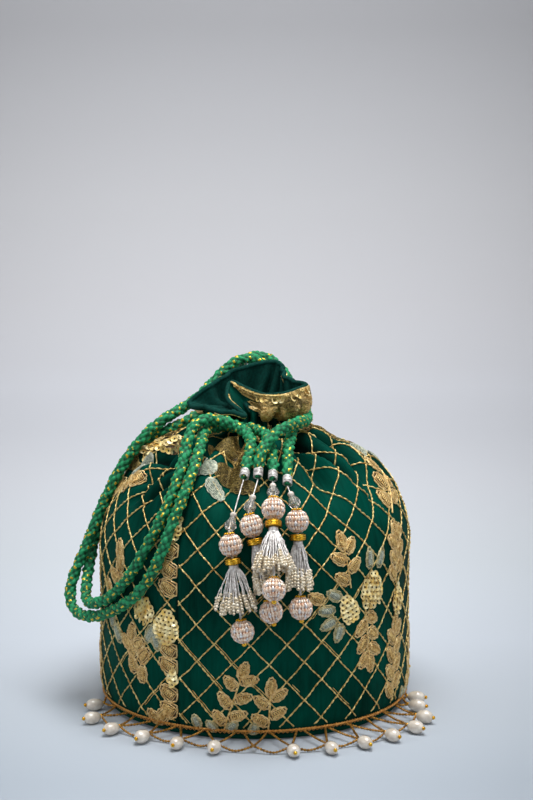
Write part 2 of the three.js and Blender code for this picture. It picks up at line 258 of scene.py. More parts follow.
# Spun thread or metal with a colour that wanders between two tones and a fine ribbed surface.
def toned(name, dark, light, grain, bumpDepth, values):
    material, tree, shader = newMaterial(name, values)
    coords = addNode(tree, "ShaderNodeTexCoord").outputs["Object"]
    wander = addNode(tree, "ShaderNodeTexNoise", values={"Scale": 1 / (grain * mm), "Detail": 3},
                     links={"Vector": coords})
    ramp = addNode(tree, "ShaderNodeValToRGB", links={"Fac": wander.outputs["Fac"]})
    ramp.color_ramp.elements[0].position = 0.34
    ramp.color_ramp.elements[0].color = hexColour(dark)
    ramp.color_ramp.elements[1].position = 0.66
    ramp.color_ramp.elements[1].color = hexColour(light)
    tree.links.new(ramp.outputs["Color"], shader.inputs["Base Color"])
    if bumpDepth:
        bump = addNode(tree, "ShaderNodeBump", values={"Strength": 0.5, "Distance": bumpDepth * mm},
                       links={"Height": wander.outputs["Fac"]})
        tree.links.new(bump.outputs["Normal"], shader.inputs["Normal"])
    return material


silk = greenSilk()
# Plain cotton lining: the same dye, matt
liningCloth = toned("dyed cotton lining", "#022F28", "#054038", 1.2, 0.1,
                    {"Roughness": 0.85, "Specular IOR Level": 0.12})
# Gilt couching thread: flat metal strip wound on cotton, so it glints in short dashes
giltThread = toned("gilt couching thread", "#B0853A", "#FFE69A", 1.6, 0.15,
                   {"Metallic": 0.5, "Roughness": 0.4})
# Looped gilt thread of the leaves: tan. The dark ground under the loops is partly the stitched ground and
# partly painted shade between the loops
tanThread = toned("looped tan gilt thread", "#C08E44", "#FFE29A", 1.1, 0.2,
                  {"Metallic": 0.45, "Roughness": 0.36})
tanEdge = toned("tan gilt edging", "#D2A35C", "#FFE6AA", 1.3, 0.15, {"Metallic": 0.4, "Roughness": 0.42})
tanGroundAndShade = toned("tan stitched ground and painted shade", "#2C2110", "#6A4F2C", 0.8, 0.2, {"Roughness": 0.7})
# Old gold thread of the shoulder flowers
brownThread = toned("looped brown gilt thread", "#40361A", "#A38C4C", 0.9, 0.2,
                    {"Metallic": 0.4, "Roughness": 0.45})
brownEdge = toned("brown gilt edging", "#6E5A2A", "#C0A25C", 1.2, 0.15, {"Metallic": 0.4, "Roughness": 0.45})
# The brown ground is near black: partly the stitched ground, partly painted shade between the loops
brownGroundAndShade = toned("brown stitched ground and painted shade", "#1A1408", "#45371A", 0.9, 0.2, {"Roughness": 0.7})
# Silvered thread, grey green where the ground shows through
silverLeafThread = toned("looped silver thread", "#93A08F", "#DEDFCA", 1.1, 0.2,
                         {"Metallic": 0.3, "Roughness": 0.45})
silverEdge = toned("pale gilt edging", "#A99A66", "#E6DDB0", 1.3, 0.15, {"Metallic": 0.4, "Roughness": 0.4})
silverGround = toned("silver stitched ground", "#5F7266", "#8FA092", 1.0, 0.2, {"Roughness": 0.6})
# Cupped plastic sequins with a gilt film
sequinFilm = toned("gilt sequin film", "#F6D070", "#FFF2BC", 3.0, 0, {"Metallic": 0.2, "Roughness": 0.2})


# Crocheted cotton cord: a painted highlight on the crests of its stitches and painted shade between them
def crochetCotton():
    material, tree, shader = newMaterial("crocheted green cotton", {"Roughness": 0.62, "Sheen Weight": 0.08,
                                         "Sheen Tint": hexColour("#7FDDB0"), "Specular IOR Level": 0.3})
    paintedStitchLight = addNode(tree, "ShaderNodeAttribute", {"attribute_name": "paintedStitchLight"})
    coords = addNode(tree, "ShaderNodeTexCoord").outputs["Object"]
    ply = addNode(tree, "ShaderNodeTexNoise", values={"Scale": 900, "Detail": 2}, links={"Vector": coords})
    # Painted light and shade, with random ply tone: the colour runs from near black in the gaps to bright
    # green on the stitch crests
    plyToneAndStitchLight = addNode(tree, "ShaderNodeMath", {"operation": "MULTIPLY_ADD"}, {1: 0.5},
                   {0: ply.outputs["Fac"], 2: paintedStitchLight.outputs["Fac"]})
    ramp = addNode(tree, "ShaderNodeValToRGB", links={"Fac": plyToneAndStitchLight.outputs["Value"]})
    ramp.color_ramp.elements[0].position = 0.38
    ramp.color_ramp.elements[0].color = hexColour("#00150C")
    ramp.color_ramp.elements[1].position = 1.2
    ramp.color_ramp.elements[1].color = hexColour("#239660")
    bump = addNode(tree, "ShaderNodeBump", values={"Strength": 0.5, "Distance": 0.25 * mm},
                   links={"Height": ply.outputs["Fac"]})
    tree.links.new(ramp.outputs["Color"], shader.inputs["Base Color"])
    tree.links.new(bump.outputs["Normal"], shader.inputs["Normal"])
    return material


cordCotton = crochetCotton()
# Strips of yellow lurex worked into the cord
lurex = toned("yellow lurex strip", "#B98A12", "#F2D23A", 1.0, 0, {"Metallic": 0.5, "Roughness": 0.35})
# Nacre of rice pearls: creamy, clear coat over a soft glow
nacre = toned("rice pearl nacre", "#CBBFAF", "#EEE5D8", 4, 0,
              {"Roughness": 0.22, "Coat Weight": 1.0, "Coat Roughness": 0.06, "Specular IOR Level": 0.7})
# Silver-lined glass bugles on peach thread
peachGlass = toned("silver-lined peach bugles", "#D6A582", "#FFF0DE", 1.3, 0,
                   {"Metallic": 0.3, "Roughness": 0.16, "Coat Weight": 0.5, "Coat Roughness": 0.05})
# A paler, more metallic glass on a fixed quarter of the ball's beads: painted glints
clearGlassGlint = toned("silver-lined clear bugles as painted glints", "#B3A8A0", "#FFFFFF", 0.9, 0,
                   {"Metallic": 0.5, "Roughness": 0.14, "Coat Weight": 0.5, "Coat Roughness": 0.05})
peachCore = toned("peach thread ground", "#8A5C42", "#B58566", 1.0, 0.1, {"Roughness": 0.7})
# Twisted silver thread, slightly warm grey
silverThread = toned("twisted silver thread", "#BDB6B2", "#FFFCF8", 1.2, 0.1,
                     {"Metallic": 0.35, "Roughness": 0.36})
# Clear seed beads with a pale gold lining
seedGlass = toned("gold-lined seed beads", "#BFA982", "#F8EEDA", 1.2, 0,
                  {"Metallic": 0.25, "Roughness": 0.12, "Coat Weight": 0.6, "Coat Roughness": 0.04})
# Polished gilt brass
giltBrass = toned("gilt brass", "#C98F17", "#F0C24A", 2.5, 0, {"Metallic": 1, "Roughness": 0.24})
# Bronze-gold seed beads of the hem lace
bronzeBeads = toned("bronze seed beads", "#64420F", "#C4903F", 1.4, 0, {"Metallic": 0.6, "Roughness": 0.3})
# Orange-gold braid thread
braidThread = toned("orange gilt braid", "#B0702C", "#F0B45E", 1.2, 0.15,
                    {"Metallic": 0.45, "Roughness": 0.4})


# Cut clear glass
def clearCrystal():
    material, tree, shader = newMaterial("cut crystal", {
        "Base Color": hexColour("#F5F1EA"), "Roughness": 0.03, "IOR": 1.52, "Transmission Weight": 0.85})
    coords = addNode(tree, "ShaderNodeTexCoord").outputs["Object"]
    streak = addNode(tree, "ShaderNodeTexNoise", values={"Scale": 300, "Detail": 1}, links={"Vector": coords})
    bump = addNode(tree, "ShaderNodeBump", values={"Strength": 0.05, "Distance": 0.1 * mm},
                   links={"Height": streak.outputs["Fac"]})
    tree.links.new(bump.outputs["Normal"], shader.inputs["Normal"])
    return material


crystalGlass = clearCrystal()
print("materials made")


# Drawcords: each runs from a tassel round the neck, down and up again as one strand of the
# handle loop, behind the frill and down to another tassel.
cords = dict(radius=2.8, core=1.6, stitchHeight=1.55, strands=4, pitch=4.4, step=0.5, around=22,
             fleckShare=0.5, easing=5, taper=6, bindingTurns=6, bindingRadius=1.95, bindingThread=0.4)
cordRoutes = {
    "drawcord_a": [
        (8.8, -60.2, 120.6), (9.2, -53.5, 126.4), (8.2, -44, 132.6), (6.8, -34.5, 136.8),
        (4.2, -26, 138.4), (-1, -21.4, 138.5), (-8, -18.8, 138.7), (-15.4, -17.6, 139),
        (-21.4, -20.6, 139.2), (-24.8, -25.8, 138.8), (-25.2, -32, 136.8), (-24.8, -38.6, 132.8),
        (-26.8, -46.7, 128.2), (-29.4, -54.5, 121.2), (-32.6, -60.5, 113.2), (-36.3, -64.3, 104.2),
        (-40.4, -66.6, 94.7), (-43, -67.6, 86), (-47, -65.6, 77.4), (-53, -60.8, 68), (-61.5, -52.5, 58.6),
        (-70.5, -42.5, 52), (-78.6, -32, 47.6), (-86, -22.4, 45.5), (-91, -14.6, 47.6),
        (-92.6, -9.6, 53.4), (-90.6, -7.2, 61), (-86.4, -5.8, 70.5), (-81.6, -4, 80.5),
        (-78.8, -2.6, 89.5), (-74.8, -2, 98.5), (-70.2, -1.4, 108), (-65, -0.4, 117.6), (-59, 1, 126),
        (-52.5, 1.8, 133.4), (-45, 4.2, 139.2), (-37.5, 9, 142.6), (-29, 16, 147.2), (-19.5, 24, 156),
        (-9, 28.4, 166.6), (3.5, 28, 166.2), (11.6, 23.6, 158), (17.8, 15.6, 148.2), (20.2, 5, 141.6),
        (19.8, -6, 139.6), (19.4, -17, 139), (17.8, -29, 137.6), (16.4, -41, 133.4), (15.8, -51.5, 127),
        (15.6, -61.6, 118.4),
    ],
    "drawcord_b": [
        (-4.6, -60, 121.4), (-3.4, -53.1, 127.2), (-1, -44.5, 133), (-1.4, -34, 137.4),
        (-5.5, -26.5, 139.4), (-13, -24, 141.8), (-20.5, -26, 145), (-26.5, -28.5, 145),
        (-30.9, -33.4, 140.8), (-31.9, -39.4, 134.2), (-33, -46.5, 126.8), (-35.6, -53, 119.4),
        (-39.2, -58, 111), (-43.4, -61.9, 101), (-48.9, -62.2, 91), (-53.9, -60.4, 82),
        (-58.5, -56.8, 73.4), (-65, -49.8, 64.6), (-72, -41.5, 58), (-78, -33, 53.6), (-82, -24.5, 52.4),
        (-83.4, -16, 54.8), (-83.4, -8, 60.8), (-82, 0.4, 68.8), (-80.2, 4.8, 78.5), (-78, 5.5, 88.5),
        (-74.5, 5.8, 98.5), (-70, 5.8, 108.4), (-64.5, 6.3, 118), (-57.5, 6.6, 124.9), (-49, 6.9, 130.5),
        (-41, 6.6, 134.2), (-34, 6.4, 136.8), (-28.5, 9.8, 139.6), (-23.8, 16.6, 142.8), (-20, 26, 146.8),
        (-14.2, 31.4, 155.6), (-5.8, 35, 166), (5.2, 34.8, 167.8), (13.4, 30.8, 161.2),
        (18.6, 25.8, 153.2), (22.6, 19.2, 147), (25.9, 6, 141.9), (26, -8, 140.9), (24.6, -21, 142.2),
        (19.5, -33, 142.4), (11, -44, 141.4), (3.8, -51.4, 135), (2, -56.4, 127.8), (1.9, -60.6, 121.6),
    ],
}


# Crochet stitches: two sets of strands wind round the cord in opposite ways, and each stitch is an
# oval bump of whichever strand lies on top. Returns the bump's height, the stitch's own number and
# whether the place is on the crest of the stitch.
def stitchAt(turnShare, along):
    around = 2 * pi * turnShare
    slack = noise.noise(Vector((math.cos(around), math.sin(around), along / 5)))
    along += 1.6 * slack
    forward = cords["strands"] * turnShare + along / cords["pitch"]
    backward = cords["strands"] * turnShare - along / cords["pitch"]
    p = math.floor(forward)
    q = math.floor(backward)
    across = forward - p - 0.5
    lengthwise = backward - q - 0.5
    if (p + q) % 2:
        across, lengthwise = lengthwise, across
    number = (p * 131 + q * 17) % 997
    loose = 0.62 + 0.52 * (number * 0.618 % 1)
    height = loose * math.sqrt(max(0, 1 - (1.9 * across) ** 2)) * math.cos(2.4 * lengthwise)
    onTop = abs(across) < 0.19 and -0.1 < lengthwise < 0.28
    return height, number, onTop


# The route with its corners eased, as a limp cord eases them
def easedRoute(route):
    points = smoothRoute([Vector(p) * mm for p in route], cords["easing"] * mm)
    for _ in range(4):
        middle = [(a + 2 * b + c) / 4 for a, b, c in zip(points, points[1:], points[2:])]
        points = [points[0]] + middle + [points[-1]]
    return smoothRoute(points, cords["step"] * mm)


def crochetedCord(name, route):
    path = easedRoute(route)
    frames = pathFrames(path)
    rings = len(path) - 1
    around = cords["around"]
    fleckDraw = random.Random(name)
    flecked = {number for number in range(997) if fleckDraw.random() < cords["fleckShare"]}
    bm = bmesh.new()
    paintedStitchLight = bm.verts.layers.float.new("paintedStitchLight")
    bmesh.ops.create_grid(bm, x_segments=around, y_segments=rings, size=1)
    for face in bm.faces:
        middle = face.calc_center_median()
        ring = (middle.y + 1) / 2 * rings
        _, number, onTop = stitchAt((middle.x + 1) / 2, ring * cords["step"])
        face.material_index = int(onTop and number in flecked)
    for vert in bm.verts:
        turnShare = (vert.co.x + 1) / 2
        ring = round((vert.co.y + 1) / 2 * rings)
        height, _, _ = stitchAt(turnShare % 1, ring * cords["step"])
        # The stitch height is stored to paint the cord lighter on its crests and darker between its stitches:
        # painted light and shade
        vert[paintedStitchLight] = height
        point, side, other = frames[ring]
        toEnd = min(ring, rings - ring) * cords["step"]
        taper = lerp(0.5, 1, smoothstep(toEnd, 0.5 * cords["taper"], 1.4 * cords["taper"]))
        reach = (cords["core"] + cords["stitchHeight"] * height) * taper * mm
        turn = 2 * pi * turnShare
        vert.co = point + (side * math.cos(turn) + other * math.sin(turn)) * reach
    bmesh.ops.remove_doubles(bm, verts=bm.verts, dist=0.001 * mm)
    ends = [edge for edge in bm.edges if edge.is_boundary]
    bmesh.ops.holes_fill(bm, edges=ends, sides=0)
    bmesh.ops.recalc_face_normals(bm, faces=bm.faces)
    cord = meshObject(name.replace("drawcord", "crocheted_cord"), bm, cordCotton, lurex)
    ridesOn(cord, "bag", "green_cord", name)
    return cord, path


# Silver thread wound round each cord end, where its tassel hangs
def endBinding(path):
    coil = []
    frames = pathFrames(path)
    steps = cords["bindingTurns"] * 12
    for i in range(steps + 1):
        point, side, other = frames[round(1 + 8 * i / steps)]
        turn = 2 * pi * i / 12
        out = side * math.cos(turn) + other * math.sin(turn)
        coil.append((point + out * cords["bindingRadius"] * mm, cords["bindingThread"]))
    return coil


cordPieces = {name: crochetedCord(name, route) for name, route in cordRoutes.items()}
bindings = [endBinding(run) for _, path in cordPieces.values() for run in (path, path[::-1])]
ridesOn(threadObject("cord_bindings", bindings, silverThread), "bag", "silver_thread")
print("cords made:", {name: round(len(path) * cords["step"]) for name, (_, path) in cordPieces.items()}, "mm")


# The bag's cloth, as four zones from the hem up: wall, shoulder, neck and frill. Each zone gives its
# smooth profile (radius, height) and the depth of its pleats at a share of the zone, in mm.
bag = dict(bodyRadius=76.7, thickness=1.2, wallBottom=2.9, footInset=2.2, footRise=9, shoulderStart=75,
           shoulderHeight=59, shoulderEnd=math.radians(74), neckRadius=12.5, neckRise=11.5, pleatCount=15,
           pleatDepth=3, tiedPleatDepth=1.5, neckPleatDepth=2.2, frontSmoothing=0.6, rightPleats=0.6,
           rightFullness=2.4, rightDip=3.2, rightSide=math.radians(100), rightFront=math.radians(45),
           seamAngle=math.radians(-28), tuck=5.5)
# The frill's rim, crumpled by the pull of the cords: (degrees round the neck, x, y, z). Its front is
# folded in almost to the back, between a tongue on its left and a lobe that shows its outside.
frillSizes = dict(bulge=4.5, rightBulge=1.1, rim=(
    (-150, -9.9, 17, 161.7), (-125, -16.8, 11, 158), (-105, -24.6, 5, 153.8), (-88, -32.4, 0, 147.4),
    (-62, -26.1, -10, 146.6), (-42, -15.7, -18, 145.2), (-26, -4.5, -24, 144.8), (-17, -8.9, -14, 148),
    (-10, -13, -4, 152.6), (-4, -11.7, 5, 157.3), (2, -4.7, -4, 155.6), (9, 2.3, -13, 153.9),
    (30, 10.5, -19, 154.3), (50, 17.8, -18, 155.7), (70, 24.7, -8, 157.2), (90, 19.5, 5, 157.8),
    (115, 15.1, 11, 159.5), (145, 14.2, 17, 163.8), (180, 7.2, 20, 165.4)))
tieRadius = bag["neckRadius"] + (bag["bodyRadius"] - bag["neckRadius"]) * math.cos(bag["shoulderEnd"])
tieHeight = bag["shoulderStart"] + bag["shoulderHeight"] * math.sin(bag["shoulderEnd"])
neckTop = tieHeight + bag["neckRise"]


def pleat(angle):
    phase = bag["pleatCount"] * angle + 0.5 * math.sin(2 * angle + 1) + 0.35 * math.sin(3 * angle + 0.6)
    return 1 - 2 * ((1 - math.cos(phase)) / 2) ** 1.9


def wallRadius(z):
    low = 1 - min(1, (z - bag["wallBottom"]) / bag["footRise"])
    return bag["bodyRadius"] - bag["footInset"] * low * low


def wall(share, angle):
    z = lerp(bag["wallBottom"], bag["shoulderStart"], share)
    return wallRadius(z), z


def shoulder(share, angle):
    turn = share * bag["shoulderEnd"]
    reach = bag["bodyRadius"] - bag["neckRadius"]
    swell = bag["rightFullness"] * hump(angle, bag["rightSide"], 1) * math.sin(pi * share)
    beside = smoothstep(share, 0.5, 0.85) * (1 - smoothstep(share, 0.88, 1))
    swell -= bag["rightDip"] * hump(angle, bag["rightSide"], 0.7) * beside
    return (bag["neckRadius"] + (reach + swell) * math.cos(turn),
            bag["shoulderStart"] + (bag["shoulderHeight"] + swell) * math.sin(turn))


def neck(share, angle):
    turn = share * pi / 2
    return (bag["neckRadius"] + (tieRadius - bag["neckRadius"]) * (1 - math.sin(turn)),
            tieHeight + bag["neckRise"] * (1 - math.cos(turn)))


rimKnots = [(turn, Vector(place)) for turn, *place in frillSizes["rim"]]
rimKnots = ([(turn - 360, place) for turn, place in rimKnots[-1:]] + rimKnots
            + [(turn + 360, place) for turn, place in rimKnots[:2]])


def rimPoint(angle):
    turn = (math.degrees(angle) + 150) % 360 - 150
    i = max(k for k in range(1, len(rimKnots) - 2) if rimKnots[k][0] <= turn)
    (turn0, before), (turn1, start), (turn2, end), (turn3, after) = rimKnots[i - 1:i + 3]
    span = turn2 - turn1
    share = (turn - turn1) / span
    leave = start + (end - before) * span / (turn2 - turn0) / 3
    arrive = end - (after - start) * span / (turn3 - turn1) / 3
    first = start.lerp(leave, share)
    middle = leave.lerp(arrive, share)
    last = arrive.lerp(end, share)
    return first.lerp(middle, share).lerp(middle.lerp(last, share), share)


# A point of the frill between the top of the neck and the rim; it puffs out where the rim lies outside
def frillPoint(share, angle):
    outward = Vector((math.sin(angle), -math.cos(angle), 0))
    foot = outward * bag["neckRadius"]
    foot.z = neckTop
    rim = rimPoint(angle)
    outside = smoothstep(rim.dot(outward), 8, 20) * (1 + frillSizes["rightBulge"] * hump(angle, 1.1, 0.6))
    return foot.lerp(rim, share) + outward * frillSizes["bulge"] * outside * math.sin(pi * share ** 0.5)


def frill(share, angle):
    point = frillPoint(share, angle)
    return math.hypot(point.x, point.y), point.z


def shoulderPleats(share, angle):
    smoothFront = 1 - bag["frontSmoothing"] * hump(angle, 0.1, 0.5)
    deepRight = 1 + bag["rightPleats"] * hump(angle, bag["rightFront"], 0.45)
    return bag["pleatDepth"] * smoothstep(share, 0.25, 0.8) * smoothFront * deepRight


def neckPleats(share, angle):
    tied = lerp(shoulderPleats(1, angle), bag["tiedPleatDepth"], smoothstep(share, 0, 0.35))
    return lerp(tied, bag["neckPleatDepth"], smoothstep(share, 0.4, 1))


def frillPleats(share, angle):
    return lerp(bag["neckPleatDepth"], 0.5, share)


def zoneLength(profile):
    points = [profile(i / 20, pi / 2) for i in range(21)]
    return sum(math.dist(a, b) for a, b in zip(points, points[1:]))


zoneShapes = ((wall, lambda share, angle: 0), (shoulder, shoulderPleats), (neck, neckPleats),
              (frill, frillPleats))
zones = [dict(profile=profile, pleats=pleats, length=zoneLength(profile)) for profile, pleats in zoneShapes]
wallLength, shoulderLength, neckLength, frillLength = [zone["length"] for zone in zones]
shoulderTop = wallLength + shoulderLength
neckEnd = shoulderTop + neckLength
clothLength = neckEnd + frillLength


# Sharp folds that the pull of the cords makes. Each line gives its angle and height at the neck, its
# angle and height at the low end, and its share of the depth.
drawnFolds = dict(upperWidth=3, lowerWidth=1.1, depth=5, puff=0.25, puffAt=2.2, below=0.15, above=0.35,
                  lines=(
    (58, 133.5, 66, 122, 1), (39, 131.5, 50, 110, 1), (60, 122, 53, 102, 0.6), (78, 131, 78, 112, 0.7),
    (-52, 128.5, -74, 116, 0.9), (-46, 123, -63, 112, 0.8), (-44, 121, -59, 105, 1),
    (-42, 115, -51, 102.5, 0.7), (-33, 109, -36, 96, 0.6), (-68, 131, -90, 114, 0.8)))
foldLines = []
for topAngle, topHeight, lowAngle, lowHeight, share in drawnFolds["lines"]:
    radius = 0.5 * (tieRadius + bag["bodyRadius"])
    rises = [wallLength + shoulderLength * math.asin((height - bag["shoulderStart"]) / bag["shoulderHeight"])
             / bag["shoulderEnd"] for height in (lowHeight, topHeight)]
    lean = math.atan2(math.radians(topAngle - lowAngle) * radius, rises[1] - rises[0])
    foldLines.append((math.radians(lowAngle), math.radians(topAngle), *rises, math.cos(lean), share))


# How deep in a sharp fold a place lies, from 0 to 1; below 0 on the puffs beside it
def drawnFold(angle, rise):
    if rise < wallLength or rise > shoulderTop + 2:
        return 0
    turn = (angle + pi) % (2 * pi) - pi
    r = zones[1]["profile"]((rise - wallLength) / shoulderLength, angle)[0]
    total = 0
    for lowAngle, topAngle, lowRise, topRise, across, depth in foldLines:
        along = (rise - lowRise) / (topRise - lowRise)
        if -drawnFolds["below"] < along < 1 + drawnFolds["above"]:
            away = (turn - lerp(lowAngle, topAngle, along)) * r * across * math.copysign(1, topAngle)
            if abs(away) < 5 * drawnFolds["upperWidth"]:
                ends = smoothstep(along, -drawnFolds["below"], 0.5)
                ends *= 1 - smoothstep(along, 1, 1 + drawnFolds["above"])
                away /= drawnFolds["upperWidth"] if away > 0 else drawnFolds["lowerWidth"]
                puff = drawnFolds["puff"] * math.exp(-(away - drawnFolds["puffAt"]) ** 2)
                total += depth * ends * (math.exp(-away * away) - puff)
    return min(1, total)


# How deep in a gathered fold a place lies, from 0 to 1; the middle of the front is drawn smooth
def deepFold(angle, rise):
    gathered = smoothstep(rise, shoulderTop - 54, shoulderTop - 16)
    gathered *= 1 - smoothstep(rise, shoulderTop, neckEnd)
    drawn = 1 - 0.75 * hump(angle, 0, 0.42) - 0.5 * hump(angle, 0.85, 0.4) - 0.5 * hump(angle, -0.85, 0.4)
    return ((1 - pleat(angle)) / 2) ** 1.3 * gathered * max(0, drawn)


# Small creases that the hand sewing leaves, and the pull of the seam
def crease(angle, rise):
    place = Vector((math.sin(angle) * 2.6, math.cos(angle) * 2.6, rise / 34))
    soft = noise.noise(place) * 0.55
    fine = noise.noise(place * 3.1) * 0.28
    upper = smoothstep(rise, wallLength * 0.8, shoulderTop)
    seam = hump(angle, bag["seamAngle"], 0.016) * 0.8
    tuck = bag["tuck"] * deepFold(angle, rise) + drawnFolds["depth"] * drawnFold(angle, rise)
    return smoothstep(rise, 3, 14) * (soft + fine) * (0.6 + 1.1 * upper) - seam * (1 - upper) - tuck


# The zone of the cloth at a rise, and the share of that zone that lies below it
def zoneAt(rise):
    start = 0
    for zone in zones:
        share = (rise - start) / zone["length"]
        if share <= 1 or zone is zones[-1]:
            break
        start += zone["length"]
    return zone, min(1, max(0, share))


# A point on the cloth: rise is the length up the cloth from the hem, lift the height above it, in mm
def onCloth(angle, rise, lift=0):
    zone, share = zoneAt(rise)
    lift += zone["pleats"](share, angle) * pleat(angle) + crease(angle, rise)
    if zone["profile"] is frill:
        across = frillPoint(share, angle + 0.01) - frillPoint(share, angle - 0.01)
        up = frillPoint(min(1, share + 0.02), angle) - frillPoint(max(0, share - 0.02), angle)
        return (frillPoint(share, angle) + across.cross(up).normalized() * lift) * mm
    r, z = zone["profile"](share, angle)
    rUp, zUp = zone["profile"](min(1, share + 0.01), angle)
    rDown, zDown = zone["profile"](max(0, share - 0.01), angle)
    length = math.hypot(rUp - rDown, zUp - zDown)
    r += (zUp - zDown) / length * lift
    z += (rDown - rUp) / length * lift
    return roundBag(r, angle, z)


def radiusAt(rise):
    point = onCloth(pi / 2, rise)
    return math.hypot(point.x, point.y) / mm


def riseAt(height):
    if height <= bag["shoulderStart"]:
        return height - bag["wallBottom"]
    turn = math.asin(min(0.96, (height - bag["shoulderStart"]) / bag["shoulderHeight"]))
    return wallLength + shoulderLength * turn / bag["shoulderEnd"]


# A sheet on the bag between two rises, made from a flat grid bent round and joined at the back
def clothSheet(name, around, up, point, *materials):
    bm = bmesh.new()
    uv = bm.loops.layers.uv.new("cloth")
    paintedFoldShade = bm.verts.layers.float.new("paintedFoldShade")
    bmesh.ops.create_grid(bm, x_segments=around, y_segments=up, size=1)
    width = 2 * pi * bag["bodyRadius"] * mm
    for face in bm.faces:
        for loop in face.loops:
            co = loop.vert.co
            loop[uv].uv = ((co.x + 1) / 2 * width, (co.y + 1) / 2 * clothLength * mm)
    for vert in bm.verts:
        angle = round((vert.co.x + 1) / 2 * around) % around * 2 * pi / around + pi
        share = (vert.co.y + 1) / 2
        rise = share * clothLength
        # Painted shade: each point stores how far the silk is darkened, in gathered folds, in the sharp drawn
        # folds and in a line along the seam
        seam = hump(angle, bag["seamAngle"], 0.01) * (1 - smoothstep(rise, wallLength, shoulderTop))
        sharp = max(0, drawnFold(angle, rise)) ** 1.3
        vert[paintedFoldShade] = min(1, 0.95 * deepFold(angle, rise) ** 1.6 + 1.4 * sharp + 0.7 * seam)
        vert.co = point(angle, share)
    bmesh.ops.remove_doubles(bm, verts=bm.verts, dist=0.001 * mm)
    bmesh.ops.recalc_face_normals(bm, faces=bm.faces)
    return meshObject(name, bm, *materials)


bagCloth = clothSheet("bag_cloth", 360, 104, lambda angle, share: onCloth(angle, share * clothLength),
                      silk, liningCloth)
wallThickness = bagCloth.modifiers.new("two layers", "SOLIDIFY")
wallThickness.thickness = bag["thickness"] * mm
wallThickness.offset = -1
wallThickness.material_offset = 1
ridesOn(bagCloth, "bag", "green_silk", "outer_bag")


# Lining: a soft cup a little inside the cloth, from the middle of the base to the neck
lining = dict(inset=2.0, thickness=0.4, floorGap=0.3, floorShare=0.25, ripple=0.5)


def liningPoint(angle, share):
    floor = bag["wallBottom"] + lining["floorGap"]
    if share < lining["floorShare"]:
        r = wallRadius(bag["wallBottom"]) - lining["inset"]
        r *= 0.02 + 0.98 * share / lining["floorShare"]
        return roundBag(r, angle, floor)
    climb = (share - lining["floorShare"]) / (1 - lining["floorShare"])
    rise = climb * (neckEnd - 2)
    zone, part = zoneAt(rise)
    r, z = zone["profile"](part, angle)
    upper = smoothstep(rise, wallLength, shoulderTop)
    valley = max(0, -zone["pleats"](part, angle) * pleat(angle) - crease(angle, rise))
    sunk = lining["inset"] + valley + lining["ripple"] * (1 + math.sin(9 * angle + rise / 15)) * upper
    turn = min(1, max(0, (rise - wallLength) / shoulderLength)) * bag["shoulderEnd"]
    turn *= 1 - smoothstep(rise, shoulderTop, neckEnd - 6)
    r -= sunk * math.cos(turn)
    z = max(floor, z - sunk * math.sin(turn))
    return roundBag(r, angle, z)


liningCup = clothSheet("lining_cup", 180, 60, liningPoint, liningCloth)
liningThickness = liningCup.modifiers.new("cloth", "SOLIDIFY")
liningThickness.thickness = lining["thickness"] * mm
liningThickness.offset = -1
ridesOn(liningCup, "bag", "lining", "lining")


# Base: a stiff disc covered with the silk, its cover drawn over the edge in small tucks
base = dict(radius=74.2, thickness=2.6, sides=192, rounding=0.8, tucks=48, tuckDepth=0.25)


def coveredBase():
    bm = bmesh.new()
    bm.loops.layers.uv.new("cloth")
    bmesh.ops.create_circle(bm, cap_ends=True, segments=base["sides"], radius=base["radius"] * mm)
    bmesh.ops.translate(bm, verts=bm.verts, vec=(0, 0, base["thickness"] * mm))
    bmesh.ops.solidify(bm, geom=bm.faces[:], thickness=base["thickness"] * mm)
    rims = [edge for edge in bm.edges if len(edge.link_faces) == 2 and
            abs(edge.verts[0].co.z - edge.verts[1].co.z) < 1e-6]
    bmesh.ops.bevel(bm, geom=rims, offset=base["rounding"] * mm, affect="EDGES", segments=3, profile=0.5,
                    material=-1)
    for vert in bm.verts:
        angle = math.atan2(vert.co.x, -vert.co.y)
        tuck = 1 - base["tuckDepth"] / base["radius"] * (1 + math.sin(base["tucks"] * angle)) / 2
        vert.co.x *= tuck
        vert.co.y *= tuck
    low = min(vert.co.z for vert in bm.verts)
    bmesh.ops.translate(bm, verts=bm.verts, vec=(0, 0, -low))
    bmesh.ops.recalc_face_normals(bm, faces=bm.faces)
    return meshObject("base_cover", bm, silk, smooth=False)


ridesOn(coveredBase(), "bag", "base_cloth", "base_disc")
print("bag cloth, lining and base made, cloth length", round(clothLength), "mm")


# Couched lattice: gilt thread laid in diamonds on the flat cloth, so it gathers with it
lattice = dict(cellsAround=28.4, cellHeight=18, firstPhase=0.30, secondPhase=0.513, firstRise=3.5, lift=0.4,
               thickness=0.4, stitch=2.2, step=0.55, wobble=0.6, secondThread=0.2, secondGap=1.4)


